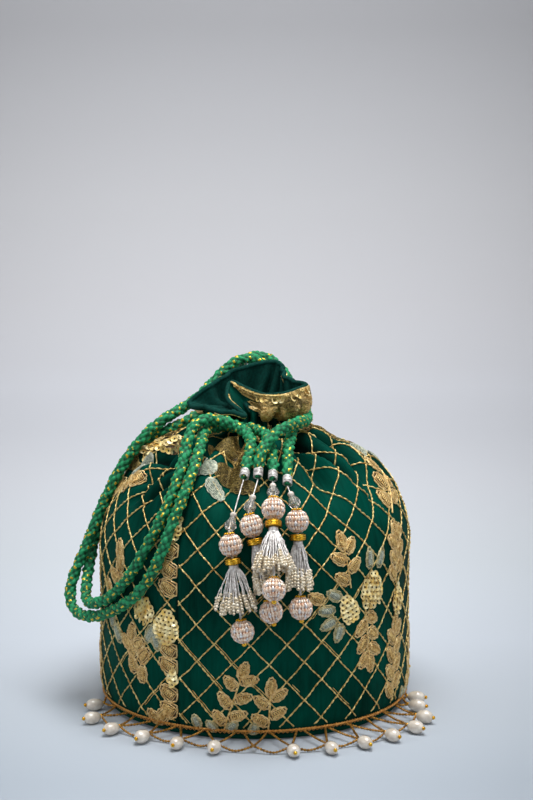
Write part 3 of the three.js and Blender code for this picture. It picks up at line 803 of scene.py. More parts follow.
# The cloth is cut and sewn at the seam, so threads that meet there don't line up
def latticeThreads():
    draw = random.Random(5)
    strands = []
    cell = 2 * pi / lattice["cellsAround"]
    top = shoulderTop + 0.75 * neckLength
    seam = bag["seamAngle"]
    spare = round(top / lattice["cellHeight"]) + 2
    for lean, phase in ((1, lattice["firstPhase"]), (-1, lattice["secondPhase"])):
        for k in range(-spare, round(lattice["cellsAround"]) + spare):
            shift = draw.random() * 50
            main = []
            beside = []
            rise = lattice["firstRise"]
            while rise < top:
                wander = noise.noise(Vector((shift, rise / 4, lean))) * lattice["wobble"]
                angle = (k + phase) * cell - lean * rise / lattice["cellHeight"] * cell
                angle += wander / bag["bodyRadius"]
                onPiece = seam + 0.01 < angle < seam + 2 * pi - 0.01
                stitch = abs(math.sin(pi * (rise + shift) / lattice["stitch"]))
                if onPiece:
                    thickness = lattice["thickness"] * (0.4 + 0.75 * stitch ** 0.8)
                    main.append((onCloth(angle, rise, lattice["lift"] * (0.25 + 0.75 * stitch)), thickness))
                doubled = noise.noise(Vector((shift, rise / 26, 7))) > 0.3 and rise < wallLength
                if onPiece and doubled:
                    offset = lattice["secondGap"] / bag["bodyRadius"]
                    beside.append((onCloth(angle + offset, rise, 0.2), lattice["secondThread"]))
                elif beside:
                    strands.append(beside)
                    beside = []
                rise += lattice["step"]
            strands.append(main)
    return [strand for strand in strands if len(strand) > 3]


gridThreads = threadObject("couched_lattice", latticeThreads(), giltThread)
ridesOn(gridThreads, "bag", "gold_braid")


# Appliqué leaves and petals: an outline of looped thread filled by thread laid to and fro.
# Each is (angle in degrees, height in mm, turn in degrees from upright towards +X, length, width).
class Motifs:
    def __init__(self):
        self.threads = {"tan": [], "brown": [], "silver": []}
        self.outlines = {"tan": [], "brown": [], "silver": []}
        self.grounds = []
        self.sequins = []


motifs = Motifs()
motifDraw = random.Random(11)
sequinSizes = dict(radius=1.75, spacing=2.6, rowSpacing=2.1, tip=0.3, rimShare=0.7, cup=0.22)
leafSizes = dict(outline=0.4, fill=0.28, dome=0.8, pitch=1.6, loopPoints=6, laid=0.85)


# A point of a motif: x across and y along it, in mm from its middle
def motifPoint(motif, x, y, lift):
    angle, rise, turn, radius, edge = motif
    across = x * math.cos(turn) + y * math.sin(turn)
    along = y * math.cos(turn) - x * math.sin(turn)
    place = angle + across / radius
    if edge is not None:
        place = min(place, edge) if angle < edge else place
    return onCloth(place, rise + along, lift)


def motifAt(angle, height, turn, edge=None):
    rise = riseAt(height)
    return (math.radians(angle), rise, math.radians(turn), max(18, radiusAt(rise)), edge)


def leafHalfWidth(y, length, width):
    share = min(1, max(-1, 2 * y / length))
    return width / 2 * math.sqrt(1 - share * share) * (1 - 0.22 * share)


def leaf(thread, angle, height, turn, length, width, edge=None):
    workedLeaf(thread, motifAt(angle, height, turn + motifDraw.uniform(-5, 5), edge),
               length * motifDraw.uniform(0.92, 1.08), width)


def workedLeaf(thread, motif, length, width):
    outline = []
    for i in range(30):
        t = 2 * pi * i / 30
        y = length / 2 * math.cos(t)
        x = math.copysign(leafHalfWidth(y, length, width), math.sin(t))
        loop = 1 + 0.07 * math.sin(10 * t)
        outline.append((motifPoint(motif, x * loop, y * loop, 0.45), leafSizes["outline"]))
    motifs.outlines[thread].append(outline)
    inner = []
    for i in range(16):
        t = 2 * pi * i / 16
        y = 0.36 * length * math.cos(t)
        x = 0.7 * math.copysign(leafHalfWidth(y, length, width), math.sin(t))
        inner.append((motifPoint(motif, x, y, 0.6), 0.8 * leafSizes["outline"]))
    motifs.outlines[thread].append(inner)
    fill = []
    loops = max(4, round(length / leafSizes["pitch"]))
    points = loops * leafSizes["loopPoints"]
    for i in range(points + 1):
        y = lerp(-0.3, 0.3, i / points) * length
        turn = 2 * pi * i / leafSizes["loopPoints"]
        x = 0.5 * leafHalfWidth(y, length, width) * math.cos(turn)
        lift = 0.4 + leafSizes["dome"] * (1 - abs(math.cos(turn)) * 0.7)
        fill.append((motifPoint(motif, x, y + 0.7 * math.sin(turn), lift), leafSizes["fill"]))
    motifs.threads[thread].append(fill)
    motifs.grounds.append((thread, motif, length, width))


def sequinPetal(angle, height, turn, length, width, edge=None):
    workedPetal(motifAt(angle, height, turn, edge), length, width)


# A petal closely covered by threads laid along it
def laidPetal(thread, angle, height, turn, length, width):
    motif = motifAt(angle, height, turn)
    threads = max(5, round(width / leafSizes["laid"]))
    for i in range(threads + 1):
        side = lerp(-0.95, 0.95, i / threads)
        line = []
        for step in range(13):
            y = lerp(-0.48, 0.48, step / 12) * length
            x = side * leafHalfWidth(y, length, width) + 0.25 * math.sin(2.1 * step + 5 * i)
            line.append((motifPoint(motif, x, y, 0.45 + 0.5 * (1 - side * side)), leafSizes["fill"]))
        motifs.threads[thread].append(line)
    motifs.grounds.append((thread, motif, length, width))


# Sequins overlap like scales, each tipped up at its lower edge
def workedPetal(motif, length, width):
    rows = max(1, round(length / sequinSizes["rowSpacing"]))
    for row in range(rows):
        y = lerp(-0.5, 0.5, (row + 0.5) / rows) * length
        reach = leafHalfWidth(y, length, width)
        count = max(1, round(2 * reach / sequinSizes["spacing"]))
        dome = 0.75 + 0.6 * (1 - (2 * y / length) ** 2)
        for i in range(count):
            x = lerp(-reach, reach, (i + 0.5) / count) + motifDraw.uniform(-0.25, 0.25)
            middle = motifPoint(motif, x, y, dome)
            ahead = motifPoint(motif, x, y + 1, dome) - middle
            aside = motifPoint(motif, x + 1, y, dome) - middle
            up = aside.cross(ahead).normalized() + sequinSizes["tip"] * ahead.normalized()
            up += Vector([motifDraw.uniform(-0.28, 0.28) for _ in range(3)])
            size = sequinSizes["radius"] * mm * motifDraw.uniform(0.92, 1.1)
            motifs.sequins.append(placed(middle, aside, up, (size, size, size)))
    motifs.grounds.append(("tan", motif, length * 0.94, width * 0.9))


# A stem with leaves to both sides and one at its tip; places are (degrees, mm)
def sprig(thread, root, tip, pairs, length, width, edge=None, spread=52):
    radius = radiusAt(riseAt((root[1] + tip[1]) / 2))
    run = math.radians(tip[0] - root[0]) * radius
    climb = riseAt(tip[1]) - riseAt(root[1])
    lean = math.degrees(math.atan2(run, climb))
    stem = []
    for i in range(13):
        angle = lerp(root[0], tip[0], i / 12)
        height = lerp(root[1], tip[1], i / 12)
        stem.append((motifPoint(motifAt(angle, height, 0, edge), 0, 0, 0.5), 0.5))
    motifs.threads[thread].append(stem)
    for pair in range(pairs):
        for side in (-1, 1):
            share = (pair + 0.5 + 0.22 * side) / (pairs + 0.4)
            turn = lean + side * spread
            away = 0.52 * length
            angle = lerp(root[0], tip[0], share)
            angle += math.degrees(away * math.sin(math.radians(turn)) / radius)
            height = lerp(root[1], tip[1], share) + away * math.cos(math.radians(turn))
            leaf(thread, angle, height, turn, length, width, edge)
    leaf(thread, tip[0], tip[1], lean, length, width, edge)


# The repeat: a garland of leaves up the cloth, and to its left a spray with two sequin flowers
def garland(angle, edge=None):
    sprig("tan", (angle - 2.5, 8), (angle, 46), 4, 9.5, 6.2, edge, 46)
    sprig("tan", (angle, 66), (angle + 0.5, 91), 3, 9.5, 6.2, edge, 46)
    sprig("tan", (angle + 3, 98), (angle + 22, 125), 4, 10, 6.5, edge, 46)
    sequinPetal(angle + 1, 58, 8, 15, 9, edge)


def spray(angle, edge=None):
    sequinPetal(angle - 16, 67, 10, 17.5, 14.5, edge)
    sequinPetal(angle - 27, 60, -20, 13.5, 10, edge)
    sprig("tan", (angle - 26, 70), (angle - 29, 92), 2, 9.5, 5.6, edge)
    leaf("tan", angle - 40, 67, -70, 9.5, 5.4, edge)
    for place in ((-17, 82, 4), (-11, 81, 24)):
        leaf("silver", angle + place[0], place[1], place[2], 10, 5, edge)
    for place in ((-33, 67.5, -60), (-36, 60.5, -85), (-35, 54, -115), (-31, 49, -160)):
        leaf("silver", angle + place[0], place[1], place[2], 9.5, 5.2, edge)
    sprig("tan", (angle - 19, 58), (angle - 16.5, 31), 3, 9, 5.8, edge)


def hemSprigs(angle):
    sprig("tan", (angle - 0.5, 5), (angle + 6.5, 34), 3, 9, 5, None, 58)
    sprig("tan", (angle + 15, 5), (angle + 16, 26), 2, 9, 5, None, 58)
    for place in ((-5, 6.4, -40), (2.5, 7, 40), (-10.5, 8.2, -20), (10, 5.8, 10)):
        leaf("silver", angle + place[0], place[1], place[2], 7, 4.6)


def shoulderFlower(angle):
    for place in ((0.5, 121, 135, 19, 12), (-15, 130, -70, 15, 10), (8, 116, 100, 14, 8)):
        laidPetal("brown", angle + place[0], *place[1:])
    for place in ((-9, 133.5, -20, 11, 8), (-4, 129, -150, 11, 8.5), (6, 127.5, 40, 11, 8.5),
                  (2, 132.5, 80, 10, 7)):
        leaf("brown", angle + place[0], *place[1:])
    for place in ((-14, 122, -100, 12, 9), (-5.5, 115, 140, 14, 6.5), (-22, 125, -80, 10, 6)):
        laidPetal("silver", angle + place[0], *place[1:])


# Left of the seam the work is cut through: half leaves stacked along it, and half a sequin flower
def seamColumn():
    edge = bag["seamAngle"]
    for height in (88.5, 79.5, 71, 41, 33.5, 20, 12):
        leaf("tan", -31.4, height, -62, 10.5, 8, edge)
    sequinPetal(-29.6, 97, 10, 13, 5, edge)
    sequinPetal(-32, 52, 6, 16, 13, edge)
    sequinPetal(-42.5, 59, -30, 15, 12.5, edge)
    sequinPetal(-29.5, 27.5, 5, 8, 4.5, edge)
    for place in ((-57.1, 83.5, -10), (-56, 77, 20), (-60, 70, -60), (-54.6, 68.5, 30), (-65, 62.7, -30),
                  (-48.8, 45.2, 10), (-52, 40, -60), (-45, 40.5, 60), (-49, 36.5, -40), (-42.4, 35.8, 50),
                  (-48.5, 30, -20), (-43.3, 26.6, 10), (-33.5, 9, 40), (-38, 6.5, -50)):
        leaf("tan", *place, 10, 6.5, edge)
    for place in ((-62.6, 48.4, -20), (-58.2, 42.4, -40), (-39, 47, -140), (-36.5, 44.5, 170)):
        leaf("silver", *place, 10.5, 6, edge)


# Work on the shoulder at the left: a sequin flower with leaves
def leftShoulder():
    for place in ((-68, 127, 30, 12, 10), (-78, 124.5, -20, 13, 10), (-88, 122.5, -40, 13, 10),
                  (-98, 120, -40, 12, 9)):
        sequinPetal(*place)
    for place in ((-72, 118.5, 10, 14, 8), (-84, 116, -10, 12, 6.5)):
        laidPetal("silver", *place)
    for place in ((-66, 113.5, 30), (-73, 111, 0), (-80, 108, -20), (-88, 106, -10)):
        leaf("tan", *place, 11, 7)


repeatAngles = (62, 152, 242)
for angle in repeatAngles:
    garland(angle)
    spray(angle)
seamColumn()
leftShoulder()
for angle in (-10, 80, 170, 260):
    hemSprigs(angle)
for angle in (-12, 108, 180, 258):
    shoulderFlower(angle)


# Frill work: leaves on the front of it, sequins at its tips and down its left back
def frillMotif(angle, share, turn):
    rise = neckEnd + share * frillLength
    return math.radians(angle), rise, math.radians(turn), 20, None


frillDraw = random.Random(7)
for angle in range(11, 78, 6):
    for share in (0.12, 0.26, 0.42, 0.58, 0.74, 0.92):
        kind = frillDraw.choice(("brown", "tan") if 24 < angle < 60 else ("tan", "tan", "tan", "brown"))
        place = frillMotif(angle + frillDraw.uniform(-4, 4), share, frillDraw.uniform(-90, 90))
        workedLeaf(kind, place, frillDraw.uniform(5.5, 8), frillDraw.uniform(3.6, 5))
for angle in (-78, -100):
    workedLeaf("tan", frillMotif(angle, 0.72, 70), 9.5, 6.5)
for angle, share, size in ((12, 0.84, 4.5), (33, 0.84, 4.5), (52, 0.84, 4.5), (66, 0.84, 4), (-96, 0.9, 4.5),
                           (-112, 0.88, 4.5), (-128, 0.9, 4.5), (-140, 0.9, 4.5)):
    workedPetal(frillMotif(angle, share, 0), size, size)


# Sheets under the motifs in their ground colours; the tan and brown ones are dark enough to be painted shade
# between the loops
def motifGrounds():
    bm = bmesh.new()
    order = ("tan", "brown", "silver")
    for thread, motif, length, width in motifs.grounds:
        steps = max(3, round(width / 1.8))
        made = bmesh.ops.create_grid(bm, x_segments=steps, y_segments=steps, size=1)
        for vert in made["verts"]:
            y = vert.co.y * length / 2 * 0.94
            x = vert.co.x * leafHalfWidth(y, length, width) * 0.94
            vert.co = motifPoint(motif, x, y, 0.5 - 0.3 * max(abs(vert.co.x), abs(vert.co.y)))
        for face in {face for vert in made["verts"] for face in vert.link_faces}:
            face.material_index = order.index(thread)
    bmesh.ops.remove_doubles(bm, verts=bm.verts, dist=0.005 * mm)
    return meshObject("motif_grounds", bm, tanGroundAndShade, brownGroundAndShade, silverGround)


def unitSequin():
    bm = bmesh.new()
    bmesh.ops.create_circle(bm, cap_ends=True, segments=10, radius=1)
    bmesh.ops.inset_region(bm, faces=bm.faces[:], thickness=sequinSizes["rimShare"], depth=0,
                           use_boundary=True)
    hole = min(bm.faces, key=lambda face: face.calc_center_median().length)
    bmesh.ops.translate(bm, verts=hole.verts[:], vec=(0, 0, -sequinSizes["cup"]))
    bmesh.ops.delete(bm, geom=[hole], context="FACES_ONLY")
    return unitMesh("sequin", bm)


threadKinds = {"tan": (tanThread, tanEdge), "brown": (brownThread, brownEdge),
               "silver": (silverLeafThread, silverEdge)}
for kind, (fillThread, edgeThread) in threadKinds.items():
    ridesOn(threadObject("leaf_fill_" + kind, motifs.threads[kind], fillThread), "bag", "gold_braid")
    ridesOn(threadObject("leaf_edge_" + kind, motifs.outlines[kind], edgeThread, closed=True), "bag",
            "gold_braid")
ridesOn(motifGrounds(), "bag", "gold_braid")
ridesOn(scattered("sequins", unitSequin(), motifs.sequins, sequinFilm), "bag", "gold_metal")
print("embroidery made:", len(motifs.grounds), "motifs and", len(motifs.sequins), "sequins")


# Frill trim: the rim is rolled over and plain, with gilt edging where the outside of the cloth shows
def rimRun(start, end, lift, thickness):
    steps = max(8, round(abs(end - start) / 1.5))
    run = []
    for i in range(steps + 1):
        angle = math.radians(lerp(start, end, i / steps))
        ripple = 1 + 0.25 * math.sin(i * 2.4)
        run.append((onCloth(angle, clothLength - 0.5, lift), thickness * ripple))
    return run


rolledRim = [(onCloth(2 * pi * i / 360, clothLength, -bag["thickness"] / 2), 1.2) for i in range(360)]
ridesOn(threadObject("rolled_rim", [rolledRim], liningCloth, sides=3, closed=True), "bag", "green_silk")
edging = [rimRun(-48, -10, 0.5, 0.45), rimRun(-3, 74, 0.4, 0.6), rimRun(-3, 40, 1.3, 0.4),
          rimRun(100, 128, 0.5, 0.45)]
insideLift = -bag["thickness"] - 0.5
edging.append([(onCloth(math.radians(118), clothLength - 1.2 * i, insideLift), 0.5) for i in range(14)])
for turn in (0, 1):
    band = []
    for i in range(121):
        angle = math.radians(lerp(-3, 74, i / 120))
        wave = 1.6 * math.cos(pi * i / 2 + pi * turn)
        band.append((onCloth(angle, clothLength - 2.2 + wave, 0.5 + 0.3 * turn), 0.42))
    edging.append(band)
ridesOn(threadObject("frill_edge", edging, giltThread), "bag", "gold_braid")


# Hem lace: a braid of two twisted threads, strings of bronze beads and rice pearls on the table
lace = dict(places=34, lostPlaces=(0, 9, 10, 11, 25, 26, 27), threadLean=5, drift=math.radians(9),
            pearlRadius=3.2, pearlHalfLength=4.5, thread=0.6, threadVaries=1.4, lowest=0.9, frontThread=15.5,
            spreadAngle=math.radians(50), tuckedAngle=math.radians(74), braidHeight=2.2,
            braidThickness=1.1, gap=0.3, bead=0.72, beadPitch=1.5)
braidTop = bag["wallBottom"] + lace["braidHeight"]
braidOuter = wallRadius(braidTop) + lace["gap"] + lace["braidThickness"]


def hemBraid():
    strands = []
    turns = 150
    steps = 900
    edge = braidTop - 0.5
    for strand in range(2):
        points = []
        for i in range(steps):
            angle = 2 * pi * i / steps
            twist = turns * angle + pi * strand
            ragged = 1 + 0.35 * noise.noise(Vector((math.cos(angle) * 30, math.sin(angle) * 30, strand)))
            radius = wallRadius(edge) + lace["gap"] + 0.6 + 0.35 * math.cos(twist)
            points.append((roundBag(radius, angle, edge + 0.38 * ragged * math.sin(twist)), 0.36 * ragged))
        strands.append(points)
    zigzag = []
    for i in range(steps):
        angle = 2 * pi * i / steps
        z = bag["wallBottom"] + 0.75 + 0.55 * math.cos(pi * i / 2)
        zigzag.append((roundBag(wallRadius(z) + lace["gap"] + 0.5, angle, z), 0.22))
    strands.append(zigzag)
    return threadObject("hem_braid", strands, braidThread, closed=True)


ridesOn(hemBraid(), "bag", "gold_braid", "lace_braid")


def beadString(points):
    string = []
    for i, point in enumerate(evenly(points, lace["beadPitch"] / 4 * mm)):
        string.append((point, lace["bead"] * (0.45 + 0.55 * abs(math.sin(pi * i / 4)))))
    return string


def pearlPlace(place):
    even = 2 * pi * place / lace["places"]
    angle = even - lace["drift"] * (1 - math.cos(even))
    away = abs(math.atan2(math.sin(angle), math.cos(angle)))
    spread = 1 - smoothstep(away, lace["spreadAngle"], lace["tuckedAngle"])
    reach = lace["frontThread"] + lace["threadLean"] * math.sin(angle)
    reach += lace["threadVaries"] * math.sin(5 * even)
    thread = lace["thread"] + spread * reach
    return angle, thread, spread


def unitPearl():
    bm = bmesh.new()
    bmesh.ops.create_uvsphere(bm, u_segments=20, v_segments=12, radius=1)
    for vert in bm.verts:
        turn = math.atan2(vert.co.y, vert.co.x)
        ridge = 1 + 0.025 * math.sin(3 * turn + 2 * vert.co.z) + 0.02 * math.sin(9 * vert.co.z)
        taper = 1 + 0.12 * vert.co.z
        vert.co.x *= ridge * taper
        vert.co.y *= ridge * taper
    return unitMesh("pearl", bm)


def pearlHem():
    pearls = []
    tips = []
    strings = []
    ends = []
    middleHeight = lace["pearlRadius"] + 0.2
    halfSpace = pi / lace["places"]
    draw = random.Random(3)
    for place in range(lace["places"]):
        angle, thread, spread = pearlPlace(place)
        inner = braidOuter + lace["gap"] + thread
        middle = inner + lace["pearlHalfLength"]
        out = roundBag(1, angle, 0).normalized()
        side = Vector((0, 0, 1)).cross(out)
        root = roundBag(inner, angle, middleHeight)
        ends.append((root, spread))
        lost = place in lace["lostPlaces"]
        if lost and place:
            continue
        # The place in front has lost its pearl and keeps its strings
        if not lost:
            size = draw.uniform(0.95, 1.03)
            radius = lace["pearlRadius"] * size * mm
            pearls.append(placed(roundBag(middle, angle, lace["pearlRadius"] * size), side, out,
                                 (radius, radius, lace["pearlHalfLength"] * mm)))
            outerEnd = roundBag(middle + lace["pearlHalfLength"] + 0.4, angle, middleHeight)
            tips.append(placed(outerEnd, side, out, (0.95 * mm, 0.95 * mm, 0.8 * mm)))
            tips.append(placed(roundBag(inner - 0.1, angle, middleHeight), side, out,
                               (0.9 * mm, 0.9 * mm, 0.7 * mm)))
        for lean in (-1, 1):
            start = angle + lean * draw.uniform(0.5, 1.1) * halfSpace
            top = roundBag(braidOuter - 0.4, start, bag["wallBottom"] + 1)
            mid = (top + root) / 2 + Vector((0, 0, -0.5 * mm))
            strings.append(beadString(smoothRoute([top, mid, root], 0.3 * mm)))
    for (a, spreadA), (b, spreadB) in zip(ends, ends[1:] + ends[:1]):
        if min(spreadA, spreadB) > 0.25:
            sag = (a + b) / 2 * draw.uniform(0.99, 1.02)
            sag.z = lace["lowest"] * mm
            strings.append(beadString(smoothRoute([a, sag, b], 0.3 * mm)))
    kept = [place for place in range(lace["places"]) if place not in lace["lostPlaces"]]
    pearlNodes = [f"pearl_drop_{place:02d}" for place in kept]
    ridesOn(scattered("rice_pearls", unitPearl(), pearls, nacre), "bag", "pearl", *pearlNodes)
    ridesOn(scattered("pearl_tips", unitBead(), tips, giltBrass), "bag", "gold_metal")
    ridesOn(threadObject("bead_strings", strings, bronzeBeads), "bag", "gold_metal")


pearlHem()
print("hem lace made")


# Tassels: thread, crystal, beaded ball, gold ring, skirt of silver threads and a beaded drop
tasselSizes = dict(ballRadius=5.6, ringRadius=4, ringHeight=3, gap=0.3, skirtLength=20, threadRadius=0.6,
                   crystalRadius=3, crystalLength=7, columns=20, rows=6, strands=46, fan=1.4,
                   lieGap=2.3)
tassels = [
    dict(name="left", hang=(-4.8, -60.7, 120.7), ball=(-10.4, -80.6, 94.2), drop=(-5, -86.7, 55.3), skirt=8.2,
         liesOn="back"),
    dict(name="back", hang=(1.9, -61.1, 120.9), ball=(-0.9, -77.6, 102.6), drop=(8, -86, 64.4), skirt=4),
    dict(name="front", hang=(8.8, -60.9, 119.9), ball=(9, -76.5, 110.2), drop=(9.2, -97, 77.5), skirt=7.4),
    dict(name="right", hang=(15.6, -62.2, 117.8), ball=(19.9, -75.2, 104.2), drop=(21.6, -83.4, 65.4),
         skirt=5),
]


def beadedBall(name, centre, axis, bead):
    t = tasselSizes
    radius = t["ballRadius"] * mm
    sideways = axis.orthogonal().normalized()
    other = axis.cross(sideways)
    beads = []
    for column in range(t["columns"]):
        turn = 2 * pi * column / t["columns"]
        outward = sideways * math.cos(turn) + other * math.sin(turn)
        for row in range(t["rows"]):
            tilt = math.radians(lerp(-72, 72, row / (t["rows"] - 1)))
            normal = outward * math.cos(tilt) + axis * math.sin(tilt)
            along = axis * math.cos(tilt) - outward * math.sin(tilt)
            width = pi * radius * max(0.34, math.cos(tilt)) / t["columns"]
            length = radius * math.radians(144) / (t["rows"] - 1) / 2
            matrix = placed(centre + normal * (radius - 0.75 * mm), normal, along,
                            (0.75 * mm, width * 0.95, length * 1.04))
            # Every fourth bead in this pattern takes the pale glass: painted glints
            beads.append((matrix, 2 if (column + 2 * row) % 4 == 0 else 1))
    bm = bmesh.new()
    bmesh.ops.create_uvsphere(bm, u_segments=20, v_segments=12, radius=radius - 0.7 * mm)
    bmesh.ops.translate(bm, verts=bm.verts, vec=centre)
    for matrix, glassOrGlint in beads:
        copy = bead.copy()
        copy.transform(matrix)
        copy.polygons.foreach_set("material_index", [glassOrGlint] * len(copy.polygons))
        bm.from_mesh(copy)
        bpy.data.meshes.remove(copy)
    return meshObject(name, bm, peachCore, peachGlass, clearGlassGlint)


# A shape turned about an axis through a point, from (radius, height) pairs in mm
def turnedPiece(name, pairs, point, axis, steps, material, smooth=True):
    bm = bmesh.new()
    verts = [bm.verts.new((r * mm, 0, z * mm)) for r, z in pairs]
    edges = [bm.edges.new(pair) for pair in zip(verts, verts[1:] + verts[:1])]
    bmesh.ops.spin(bm, geom=verts + edges, cent=(0, 0, 0), axis=(0, 0, 1), angle=2 * pi, steps=steps,
                   use_merge=True)
    bmesh.ops.remove_doubles(bm, verts=bm.verts, dist=0.001 * mm)
    bmesh.ops.recalc_face_normals(bm, faces=bm.faces)
    bmesh.ops.transform(bm, matrix=placed(point, axis.orthogonal(), axis, (1, 1, 1)), verts=bm.verts)
    return meshObject(name, bm, material, smooth=smooth)


def ringProfile():
    t = tasselSizes
    half = t["ringHeight"] / 2
    outside = [(t["ringRadius"] - 0.9, -half)]
    for i in range(13):
        z = lerp(-half, half, i / 12)
        outside.append((t["ringRadius"] - 0.28 * abs(math.cos(1.5 * pi * i / 6)) - 0.35 * (z / half) ** 4, z))
    outside.append((t["ringRadius"] - 0.9, half))
    return [(0.95, -half)] + outside + [(0.95, half)]


def crystalProfile():
    t = tasselSizes
    half = t["crystalLength"] / 2
    r = t["crystalRadius"]
    return [(0.7, -half), (r * 0.72, -half * 0.85), (r, -half * 0.35), (r * 0.62, half * 0.5), (1.1, half),
            (0.7, half)]


# Skirt threads lie against the tassel beside them: a point too near its middle line moves straight out
def laidAside(point, neighbour):
    ball = Vector(neighbour["ball"]) * mm
    drop = Vector(neighbour["drop"]) * mm
    line = drop - ball
    nearest = ball + line * min(1, max(0, (point - ball).dot(line) / line.length_squared))
    clear = (tasselSizes["ballRadius"] + tasselSizes["lieGap"]) * mm
    apart = point - nearest
    return nearest + apart.normalized() * max(clear, apart.length)


def tasselSkirt(name, tassel, ballPoint, axis):
    t = tasselSizes
    draw = random.Random(name)
    top = -(t["ballRadius"] + 2 * t["gap"] + t["ringHeight"])
    wide = Vector((1, 0, 0))
    wide = (wide - axis * wide.dot(axis)).normalized()
    deep = axis.cross(wide)
    neighbours = [other for other in tassels if other["name"] == tassel.get("liesOn")]
    strands = []
    beads = []
    for i in range(t["strands"]):
        turn = 2 * pi * (i + draw.random()) / t["strands"]
        reach = math.sqrt(draw.uniform(0.2, 1))
        out = wide * math.cos(turn) * t["fan"] + deep * math.sin(turn) * 0.9
        length = t["skirtLength"] * draw.uniform(0.84, 1.05)
        points = []
        for step in range(9):
            share = step / 8
            flare = lerp(1.5 * min(1, reach + 0.3), tassel["skirt"] * reach, share ** 0.9)
            flare += 0.5 * math.sin(pi * share) * draw.uniform(-0.6, 1)
            point = ballPoint + (out * flare + axis * (top - 1.5 - length * share)) * mm
            for neighbour in neighbours:
                point = laidAside(point, neighbour)
            points.append(point)
        strands.append([(point, 0.3) for point in points])
        beaded = evenly(points, 0.7 * mm)
        for place in beaded[int(len(beaded) * draw.uniform(0.6, 0.78))::2]:
            size = draw.uniform(0.72, 0.98) * mm
            beads.append(placed(place, wide, axis, (size, size, size * 0.9)))
    wrap = []
    for i in range(120):
        turn = 2 * pi * i / 14
        wrap.append((ballPoint + ((wide * math.cos(turn) + deep * math.sin(turn)) * 1.9
                                  + axis * (top - 2.6 * i / 119)) * mm, 0.34))
    strands.append(wrap)
    return strands, beads


def makeTassel(tassel, bead):
    t = tasselSizes
    name = "tassel_" + tassel["name"]
    body = name
    hang = Vector(tassel["hang"]) * mm
    ballPoint = Vector(tassel["ball"]) * mm
    dropPoint = Vector(tassel["drop"]) * mm
    axis = (ballPoint - dropPoint).normalized()
    kink = ballPoint + axis * (t["ballRadius"] + 0.8) * mm
    toHang = (hang - kink).normalized()
    crystalPoint = kink + toHang * (t["crystalLength"] / 2 + 0.7) * mm
    ridesOn(beadedBall(name + "_beaded_ball", ballPoint, axis, bead), body, "beaded_ball", name + "_ball")
    ridesOn(beadedBall(name + "_beaded_drop", dropPoint, axis, bead), body, "beaded_ball", name + "_drop")
    ringPoint = ballPoint - axis * (t["ballRadius"] + t["gap"] + t["ringHeight"] / 2) * mm
    ridesOn(turnedPiece(name + "_gilt_ring", ringProfile(), ringPoint, axis, 36, giltBrass), body,
            "gold_metal", name + "_ring")
    crystal = turnedPiece(name + "_cut_crystal", crystalProfile(), crystalPoint, toHang, 8, crystalGlass,
                          smooth=False)
    ridesOn(crystal, body, "crystal", name + "_crystal")
    strands, beads = tasselSkirt(name, tassel, ballPoint, axis)
    tail = dropPoint - axis * t["ballRadius"] * 1.05 * mm
    strands.append([(point, 0.35) for point in evenly([hang, kink], 1.2 * mm)])
    strands.append([(point, t["threadRadius"]) for point in evenly([kink, tail], 1.2 * mm)])
    ridesOn(threadObject(name + "_silver_threads", strands, silverThread), body, "silver_thread",
            name + "_threads")
    ridesOn(scattered(name + "_seed_beads", bead, beads, seedGlass), body, "crystal")
    caps = []
    height = t["ballRadius"] - 0.2
    for centre in (ballPoint, dropPoint):
        for i in range(9):
            turn = 2 * pi * i / 9
            side = axis.orthogonal().normalized()
            out = side * math.cos(turn) + axis.cross(side) * math.sin(turn)
            caps.append(placed(centre + axis * height * mm + out * 1.9 * mm, out, axis,
                               (0.72 * mm, 0.72 * mm, 0.6 * mm)))
    caps.append(placed(tail, axis.orthogonal(), axis, (1.3 * mm, 1.3 * mm, 1.1 * mm)))
    topPearl = placed(kink + toHang * (t["crystalLength"] + 1.9) * mm, axis.orthogonal(), toHang,
                      (1.6 * mm, 1.6 * mm, 1.5 * mm))
    ridesOn(scattered(name + "_small_pearl", bead, [topPearl], nacre), body, "pearl")
    ridesOn(scattered(name + "_gilt_beads", bead, caps, giltBrass), body, "gold_metal")


smallBead = unitBead()
for tassel in tassels:
    makeTassel(tassel, smallBead)
print("tassels made")


# Stage: a pale paper sweep with painted light and shade in its colour, and soft light from above
sweep = dict(width=4.0, near=-1.6, turnAt=0.9, turnRadius=0.6, height=2.2, eye=-0.92, toneNear=-0.2,
             toneFar=1.5, sideShade=7.0, sideLean=0.3, deepestShade=0.2,
             paperAndFalloffTones=((-0.13, "#AFB8C2"), (-0.04, "#BAC2CB"), (0.1, "#CBD2DB"), (0.29, "#D1D7DD"),
                    (0.56, "#E1E4EA"), (1, "#F1F3F9"), (1.2, "#EDEDF1"), (1.33, "#E5E5E8"),
                    (1.41, "#D9D9DC"), (1.465, "#C8C8CB")))


